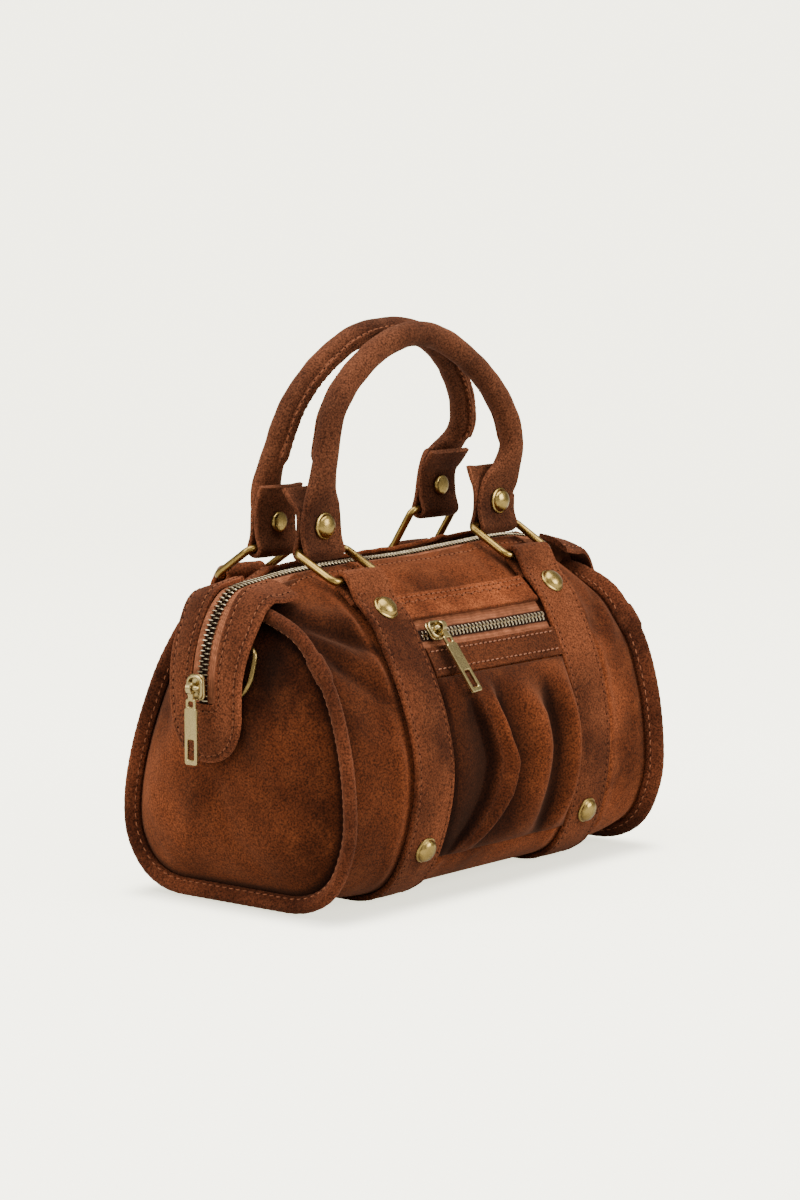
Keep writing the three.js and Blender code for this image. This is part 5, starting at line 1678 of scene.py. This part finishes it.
def handle_skin(name):
    """A section that is flat at the tabs and round along the arch, carried along the handle; at the
    free ends its corners run on past its middle and spread, and creases follow the pressed part."""
    path, wide, roundness, gone = handle_path(name)
    side = HANDLES[name][0]
    count = 36
    turn = 2 * np.pi * np.arange(count) / count
    power = (0.32 + 0.68 * roundness)[:, None]
    cos, sin = np.cos(turn)[None], np.sin(turn)[None]
    across = np.sign(cos) * np.abs(cos) ** power
    out = np.sign(sin) * np.abs(sin) ** power
    from_end = np.minimum(gone, gone[-1] - gone)
    free = 1 - step_up(from_end, 2, 16)
    half = HANDLE_TAB_HALF + (HANDLE_RADIUS - HANDLE_TAB_HALF) * roundness + HANDLE_FLARE * free
    thick = HANDLE_TAB_THICK / 2 + (HANDLE_RADIUS - HANDLE_TAB_THICK / 2) * roundness
    shape = np.stack([across * half[:, None], out * thick[:, None]], axis=-1)
    along, wide_unit, out_unit = frames(path, wide)
    away = np.where(gone < gone[-1] / 2, -1, 1)
    ear = HANDLE_EAR * free[:, None] * (across ** 2 - 0.35) * away[:, None]
    sections = path[:, None] + wide_unit[:, None] * shape[..., :1] + out_unit[:, None] * shape[..., 1:]
    sections = sections + along[:, None] * ear[..., None]
    soft = 0.3 * waver(sections, 19) * roundness[:, None]
    spread = unit(sections - path[:, None])
    sections = sections + spread * soft[..., None]
    edge = np.abs(across) > 0.95
    tone = -0.7 * edge * (1 - roundness)[:, None]
    return loft(sections), tone.ravel(), (path, wide_unit, out_unit, roundness, side)


FIN_RISE = 2.3
FIN_HALF = 1.9
FIN_TONE = -0.3
# One raw edge, aside from the seam and out of the roll
FIN_SECTION = np.array([
    (-FIN_HALF, -1.5), (0.0, -1.5), (0.0, FIN_RISE - 0.3), (-0.25, FIN_RISE),
    (-FIN_HALF + 0.25, FIN_RISE), (-FIN_HALF, FIN_RISE - 0.4),
])


def fin_skin(line):
    """The two raw edges that stand out side by side along the rolled part, narrowing at its ends."""
    path, wide, out, roundness, side = line
    rolled = roundness > 0.9
    path, wide, out = path[rolled], wide[rolled], out[rolled]
    share = np.linspace(0, 1, len(path))
    full = step_up(share, 0, 0.04) * (1 - step_up(share, 0.96, 1))
    parts = []
    for layer in (-1, 1):
        shape = FIN_SECTION * np.array([layer, 1])
        wavy = 0.18 * np.sin(2 * np.pi * np.arange(len(path)) / 17 + layer)
        points = path[:, None] + wide[:, None] * (shape[None, :, :1] + wavy[:, None, None])
        lift = -side * (HANDLE_RADIUS - 0.6 + shape[None, :, 1:] * full[:, None, None])
        parts.append(loft(points + out[:, None] * lift))
    return joined(parts)


def fin_rows(line):
    """A row of stitches along each face of the fin."""
    path, wide, out, roundness, side = line
    rolled = roundness > 0.97
    path, wide, out = path[rolled], wide[rolled], out[rolled]
    inward = out * side * (HANDLE_RADIUS + 0.9)
    return [
        (path + wide * layer * (FIN_HALF + 0.1) - inward, wide * layer, layer)
        for layer in (-1, 1)
    ]


handle_suede = suede_material(
    "suede_handles", gain=0.66, brushed=0.5, shift=(0.71, 0.35, 0.19), pile=0.3, tint=(1.0, 1.3, 1.85))
for handle_name in HANDLES:
    handle_parts, handle_tone, fin_line = handle_skin(handle_name)
    make_piece(
        f"handle_{handle_name}_suede", handle_parts, handle_suede, handle_tone, sharp=60,
        nodes=(f"handle_{handle_name}",))
    fin_parts = fin_skin(fin_line)
    fin_tone = np.full(len(fin_parts[0]), FIN_TONE)
    make_piece(f"handle_{handle_name}_fin", fin_parts, handle_suede, fin_tone)
    sew(f"handle_{handle_name}", fin_rows(fin_line), suede_thread, pitch=3.8, long=2.9)

# Rivets.
# Domed brass caps on a narrow rim hold the straps and the folded handle ends; a handle's rivet has
# a flatter cap on its inner side.
RIVET_RADIUS = 6
RIVET_TALL = 4
RIVET_RIM = 0.9
CAP_RADIUS, CAP_TALL = 4.8, 1.6
RIVET_POST = 1.4
RIVET_FROM_BAR = 19
LOWER_RIVET_HEIGHT = 24.5
RIVET_COLOUR = (0.43, 0.295, 0.088, 1)


def lathe_skin(profile, count=40):
    """A profile of radius and height turned about z; its ends lie on the axis."""
    turn = 2 * np.pi * np.arange(count) / count
    radius, height = np.asarray(profile, float).T
    points = np.stack([
        np.outer(radius, np.cos(turn)),
        np.outer(radius, np.sin(turn)),
        np.repeat(height[:, None], count, axis=1),
    ], axis=-1)
    return points.reshape(-1, 3), grid_faces(len(profile), count, loop=True).tolist()


def dome_profile(foot):
    """A rim with a rounded edge, a fine groove, and a dome above it."""
    turn = np.radians(np.linspace(4, 90, 12))
    inner = RIVET_RADIUS - 0.75
    dome_height = foot + RIVET_RIM + (RIVET_TALL - RIVET_RIM) * np.sin(turn)
    dome = np.stack([inner * np.cos(turn), dome_height], axis=-1)
    dome[-1, 0] = 0
    rim = [(RIVET_RADIUS - 0.1, foot), (RIVET_RADIUS, foot + 0.25), (RIVET_RADIUS - 0.12, foot + 0.6),
           (RIVET_RADIUS - 0.5, foot + RIVET_RIM - 0.08), (inner + 0.06, foot + RIVET_RIM - 0.02)]
    return np.concatenate([rim, dome])


def rivet_seat(skin, place, out):
    """A rivet turned to stand along out."""
    return seated(skin, place, (1, 0, 0) - np.dot((1, 0, 0), out) * np.asarray(out), out)


rivet_half = HANDLE_TAB_THICK + 0.75
cap_low = -rivet_half - CAP_TALL
rivet_profile = np.concatenate([
    [(0, cap_low), (CAP_RADIUS - 1.4, cap_low), (CAP_RADIUS - 0.5, -rivet_half - 1.35),
     (CAP_RADIUS, -rivet_half - 0.7), (CAP_RADIUS, -rivet_half),
     (RIVET_POST, -rivet_half), (RIVET_POST, rivet_half)],
    dome_profile(rivet_half),
])
rivet_brass = brass_material("brass_rivets", RIVET_COLOUR, BRASS_DARK, 0.45)
for ring_name, (end, side, lean, aside) in RINGS.items():
    rivet_place = upper_bars[ring_name] + np.array([0, 0, HANDLE_RIVET_RISE])
    make_piece(
        f"rivet_handle_{ring_name}_brass",
        rivet_seat(lathe_skin(rivet_profile), rivet_place, np.array([0, side, 0.0])),
        rivet_brass, sharp=38, nodes=(f"rivet_handle_{ring_name}",))
head_profile = np.concatenate([[(0, -0.6), (RIVET_RADIUS - 0.3, -0.6)], dome_profile(0)])
for end, end_name in END_NAMES:
    for side, face_name in ((-1, "front"), (1, "back")):
        strap_x = end * STRAP_X
        near, spot, far = loop_layer(strap_x, side, RIVET_FROM_BAR + np.array([-1, 0, 1]), True)
        upper_out = unit(np.cross(far - near, (1, 0, 0)) * -side)
        low_wrap = side * wrap_at(LOWER_RIVET_HEIGHT)
        seats = {
            "upper": (spot, upper_out),
            "lower": (strap_base(strap_x, low_wrap, STRAP_LAYER), flat_normal(strap_x, low_wrap)),
        }
        for level, (place, out) in seats.items():
            make_piece(
                f"rivet_strap_{level}_{face_name}_{end_name}_brass",
                rivet_seat(lathe_skin(head_profile), place + out * (STRAP_THICK / 2 + 0.3), out),
                rivet_brass, sharp=38,
                nodes=(f"rivet_strap_{level}_{face_name}_{end_name}",))

# End rings and keepers.
# Behind each zip tab a brass D-ring lies on the end panel, held by a short strip of suede folded
# round its bar.
D_WIDE, D_TALL, D_WIRE, D_CORNER, D_Y, D_LEAN = 30, 26, 3, 3.5, -8, 14.6
D_BAR_X, D_BAR_Z = 120.8, 113
KEEPER_Y, KEEPER_WIDE, KEEPER_THICK = -8, 12, 1.4
KEEPER_START, KEEPER_FINISH = (116.4, 117.3), (118.6, 111.7)
# A darker brass for the end rings than for the other brass
END_RING_COLOUR = (0.27, 0.185, 0.062, 1)
END_RING_DARK = (0.10, 0.06, 0.018, 1)
d_half = (D_WIDE - D_WIRE) / 2
d_turn = np.radians(np.linspace(0, 180, 31))
d_drop = D_TALL - D_WIRE - d_half
d_corner = np.radians(np.linspace(0, 90, 7))
d_bow = np.stack([d_half * np.cos(d_turn), -d_drop - d_half * np.sin(d_turn)], axis=-1)
d_left = np.stack([
    -d_half + D_CORNER * (1 - np.cos(d_corner)),
    -D_CORNER + D_CORNER * np.sin(d_corner),
], axis=-1)
d_outline = closed_even(np.concatenate([d_bow, d_left, d_left[::-1] * np.array([-1, 1])]), 120)
keeper_radius = D_WIRE / 2 + 0.3 + KEEPER_THICK / 2
keeper_turn = np.radians(np.linspace(130, -120, 19))
keeper_section = rounded_outline(KEEPER_WIDE, KEEPER_THICK, 0.6, 5)
keeper_bend = np.stack([
    D_BAR_X + keeper_radius * np.cos(keeper_turn),
    D_BAR_Z + keeper_radius * np.sin(keeper_turn),
], axis=-1)
keeper_x, keeper_z = np.concatenate([[KEEPER_START], keeper_bend, [KEEPER_FINISH]]).T
darker_brass = brass_material("brass_end_rings", END_RING_COLOUR, END_RING_DARK, 0.5)
for end, end_name in END_NAMES:
    tilt = np.radians(D_LEAN)
    d_up = np.array([-end * np.sin(tilt), 0, np.cos(tilt)])
    d_out = np.cross((0, end, 0), d_up)
    make_piece(
        f"end_ring_{end_name}_brass",
        seated(wire_skin(d_outline, D_WIRE / 2), (end * D_BAR_X, D_Y, D_BAR_Z), (0, end, 0), d_out),
        darker_brass, sharp=60, nodes=(f"end_ring_{end_name}",))
    keeper_path = np.stack([end * keeper_x, 0 * keeper_x + KEEPER_Y, keeper_z], axis=-1)
    make_piece(
        f"end_keeper_{end_name}_suede", sweep(keeper_path, (0, 1, 0), keeper_section), strap_suede,
        nodes=(f"end_keeper_{end_name}",))

# Pocket zip.
# Above the pouch a suede facing and a suede band hold a narrow woven tape with fine brass teeth;
# the facing's edge is rolled, the band's is raw, and both are sewn twice.
FACING_EDGE, POCKET_ZIP, BAND_TOP, BAND_EDGE, POUCH_TOP = 118.5, 112.6, 107.5, 96, 95.4
POCKET_TAPE_THICK = 0.8
POCKET_LAYER = 1.5
OVER_TAPE = 1.4
TAPE_HIDDEN = 3
FINE_PITCH, FINE_LONG, FINE_REACH, FINE_PAST, FINE_TALL = 2.5, 0.85, 2.2, 0.25, 1.2
FINE_COLOUR = (0.80, 0.68, 0.46, 1)
FINE_DARK = (0.34, 0.25, 0.14, 1)
PALE_THREAD = (0.255, 0.105, 0.056, 1)


def pocket_strip(low, high, off, thick, rows=22, columns=90, roll=0.0, edge_tone=0.5):
    """A strip across the pocket between two heights, so far off the body: its long edges are
    rounded, and its lower edge may be rolled up."""
    xs = np.linspace(-POCKET_HALF, POCKET_HALF, columns)
    share = (1 - np.cos(np.linspace(0, np.pi, rows))) / 2
    x, height = np.meshgrid(xs, low + (high - low) * share)
    wrap = -wrap_at(height)
    edge = np.minimum(height - low, high - height)
    soft = round_edge(edge, 0.8, 0.05)
    rolled = roll * hump(height, low, 1.6)
    uneven = 0.22 * waver(np.stack([x, 0 * x, height], axis=-1), 21)
    middle = off + thick / 2 + rolled * 0.5 + np.maximum(uneven, -0.1)
    half = (thick / 2) * soft + rolled * 0.5
    # Above nought, edge_tone is painted shade along both long edges; below nought it lightens raw edges
    tone = edge_tone * (1 - step_up(edge, 0.1, 0.8))
    skin = slab(off_body(x, wrap, middle + half), off_body(x, wrap, middle - half))
    return skin, both_faces(tone), height


def pocket_row(height, off, zigzag=0.0):
    """A row of stitches across the pocket at one height."""
    x = np.linspace(-POCKET_HALF + 1.5, POCKET_HALF - 1.5, 180)
    level = height + zigzag * np.sin(np.pi * x / STITCH_PITCH)
    wrap = -wrap_at(level)
    return off_body(x, wrap, 0 * x + off), body_normal(x, wrap), 1


facing_suede = suede_material("suede_facing", gain=1.5, brushed=0.65, shift=(0.23, 0.67, 0.41))
band_suede = suede_material(
    "suede_band", gain=0.56, brushed=0.5, shift=(0.83, 0.21, 0.57), tint=(1.0, 1.08, 1.25))
pale_thread = thread_material("thread_pale", PALE_THREAD)
facing_parts, facing_painted_shade, _ = pocket_strip(FACING_EDGE, POCKET_TOP, OVER_TAPE, POCKET_LAYER, roll=0.8)
make_piece("pocket_facing_suede", facing_parts, facing_suede, facing_painted_shade, nodes=("pocket_facing",))
band_parts, band_tone, _ = pocket_strip(BAND_EDGE, BAND_TOP, OVER_TAPE, POCKET_LAYER, edge_tone=-0.5)
make_piece("pocket_band_suede", band_parts, band_suede, band_tone, nodes=("pocket_band",))
tape_parts, _, tape_height = pocket_strip(
    BAND_TOP - TAPE_HIDDEN, FACING_EDGE + TAPE_HIDDEN, 0.3, POCKET_TAPE_THICK, rows=40)
# Painted shade on the pocket tape between its teeth
tape_tone = 1 - step_up(np.abs(tape_height - POCKET_ZIP), FINE_REACH - 0.2, FINE_REACH + 0.7)
make_piece(
    "pocket_tape_woven", tape_parts, tape_woven, both_faces(tape_tone),
    nodes=("pocket_tape",))
face_off = OVER_TAPE + POCKET_LAYER
sew("pocket_facing", [
    pocket_row(POCKET_TOP - 1.8, face_off),
    pocket_row(POCKET_TOP - 3.6, face_off, zigzag=0.35),
], suede_thread)
sew("pocket_band", [
    pocket_row(BAND_TOP - 2.0, face_off),
    pocket_row(BAND_EDGE + 2.4, face_off),
], pale_thread, radius=0.33)
fine_brass = brass_material("brass_fine_teeth", FINE_COLOUR, FINE_DARK, 0.35)
fine_x = np.linspace(-POCKET_HALF + 2, POCKET_HALF - 1, 200)
fine_wrap = np.full_like(fine_x, -wrap_at(POCKET_ZIP))
fine_path = off_body(fine_x, fine_wrap, 0 * fine_x)
make_piece(
    "pocket_teeth",
    teeth_skin(fine_path, body_normal(fine_x, fine_wrap), FINE_PITCH, FINE_LONG, FINE_REACH, FINE_PAST,
               0.3 + POCKET_TAPE_THICK, FINE_TALL),
    fine_brass, sharp=30, nodes=("pocket_chain",))

# Pocket pouch.
# A full piece of suede gathered into a few deep, wandering pleats under the band and sewn down at
# the sides and along the bottom, so that it swells in lobes.
CREASE_WIDE = 3.2
VALLEY_BELOW = 0.1
POUCH_LOW = 1.4
POUCH_SWELL = 9.4
# Each valley or crest from left to right: its level, and its x at heights from the bottom up
PLEATS = (
    (0.12, ((18, -POCKET_HALF), (96, -POCKET_HALF))),
    (0.0, ((18, -44), (24, -40), (32, -34), (44, -28), (58, -25), (74, -28.5), (88, -34), (96, -37))),
    (0.6, ((18, -40), (24, -36), (32, -30), (44, -23.5), (58, -20.5), (74, -24.5), (88, -30), (96, -33))),
    (1.0, ((18, -31), (24, -28), (35, -20), (44, -14.5), (57, -12), (66, -17), (78, -20), (96, -21))),
    (0.05, ((18, -24), (24, -20), (35, -13), (44, -8), (57, -5), (66, -9), (78, -12), (96, -14))),
    (1.0, ((18, 9), (24, 10), (37, 9), (60, 12), (73, 11), (88, 3), (96, 0))),
    (0.0, ((18, 23), (24, 24), (39, 26), (58, 27), (82, 24), (96, 20))),
    (0.95, ((18, 33), (29, 36), (42, 40), (60, 40), (80, 37), (96, 35))),
    (0.6, ((18, POCKET_HALF), (96, POCKET_HALF))),
)


def pleat_lines(height, pleats):
    """The x of each pleat's line at these heights."""
    return [np.interp(height, *np.array(line, float).T) for level, line in pleats]


def pleat_level(x, height):
    """How far the gathered suede swells, eased from each line to the next."""
    lines = pleat_lines(height, PLEATS)
    levels = [level for level, line in PLEATS]
    swell = np.full(x.shape, levels[0])
    for near, far, start, finish in zip(lines, lines[1:], levels, levels[1:]):
        eased = step_up((x - near) / (far - near), 0, 1)
        swell = np.where(x >= near, start + (finish - start) * eased, swell)
    return swell


def pleat_crease(x, height):
    """How near a point lies to the bottom of a pleat: one on its line, and nought beside it."""
    valleys = [pleat for pleat in PLEATS[1:-1] if pleat[0] < VALLEY_BELOW]
    return np.max([hump(x, line, CREASE_WIDE) for line in pleat_lines(height, valleys)], axis=0)


def pouch_skin():
    """Off the body by a fullness that rises quickly from the band and the bottom, times the pleats'
    swell; the sides bulge towards the straps before they are sewn down."""
    xs = np.linspace(-POCKET_HALF, POCKET_HALF, 171)
    top, bottom = wrap_at(POUCH_TOP), wrap_at(POCKET_BOTTOM)
    down = np.linspace(0, 1, 141)[:, None]
    wrap = -(top + (bottom - top) * down)
    x = xs[None] + 0 * down
    height = np.broadcast_to(spline_rows(SECTION, np.abs(wrap))[..., 1], x.shape)
    across = np.abs(x) / POCKET_HALF
    fullness = np.maximum(np.sin(np.pi * down ** 0.85), 0) ** 0.55
    side_fade = 1 - across ** 10
    gathered = step_up(down, 0.0, 0.3) * (1 - 0.5 * step_up(down, 0.85, 1.0))
    swell = 0.75 + (pleat_level(x, height) - 0.75) * gathered
    off = 0.3 + side_fade * fullness * (POUCH_LOW + POUCH_SWELL * swell)
    outer = off_body(x, wrap + 0 * x, off + POCKET_LAYER)
    inner = off_body(x, wrap + 0 * x, off)
    # Painted shade: darker where the pleats swell less, near the sewn sides and bottom, and in the
    # creases
    tone = (1 - swell) ** 1.05 + 0.5 * (1 - step_up(side_fade * fullness, 0.05, 0.4))
    tone = np.clip(tone + 0.5 * pleat_crease(x, height) * gathered, 0, 1)
    return slab(outer, inner), both_faces(tone)


pouch_suede = suede_material("suede_pouch", gain=0.95, brushed=0.5, shift=(0.41, 0.53, 0.13))
pouch_parts, pouch_painted_shade = pouch_skin()
make_piece("pocket_pouch_suede", pouch_parts, pouch_suede, pouch_painted_shade, nodes=("pocket_pouch",))

# Pocket slider and its pull.
# The same castings as on the end, set across the pocket's zip at its left end; the pull hangs down
# the slope, a little askew.
POCKET_SLIDER_X = -36
POCKET_SKEW, POCKET_TUCK = 5, 4


def turned(vector, axis, angle):
    """A direction turned about an axis by an angle."""
    axis = unit(np.asarray(axis, float))
    along = np.dot(axis, vector) * axis
    return along + (vector - along) * np.cos(angle) + np.cross(axis, vector) * np.sin(angle)


pocket_out = body_normal(POCKET_SLIDER_X, -wrap_at(POCKET_ZIP))
pocket_bar = unit(np.array([1, 0, 0]) - pocket_out[0] * pocket_out)
pocket_axis = joint_place("pocket_pull_swing")
pocket_pull_bar = turned(pocket_bar, pocket_out, np.radians(POCKET_SKEW))
pocket_pull_out = turned(pocket_out, pocket_pull_bar, np.radians(POCKET_TUCK))
pocket_place = pocket_axis - pocket_out * PULL_AXIS
make_piece(
    "pocket_slider_cast",
    seated(slider_skin(*POCKET_SLIDER), pocket_place, pocket_bar, pocket_out),
    pull_brass, sharp=35, nodes=("pocket_slider",))
make_piece(
    "pocket_pull_cast", seated(pull_skin(), pocket_axis, pocket_pull_bar, pocket_pull_out),
    pull_brass, sharp=35, body="pocket_pull", nodes=("pocket_pull",))
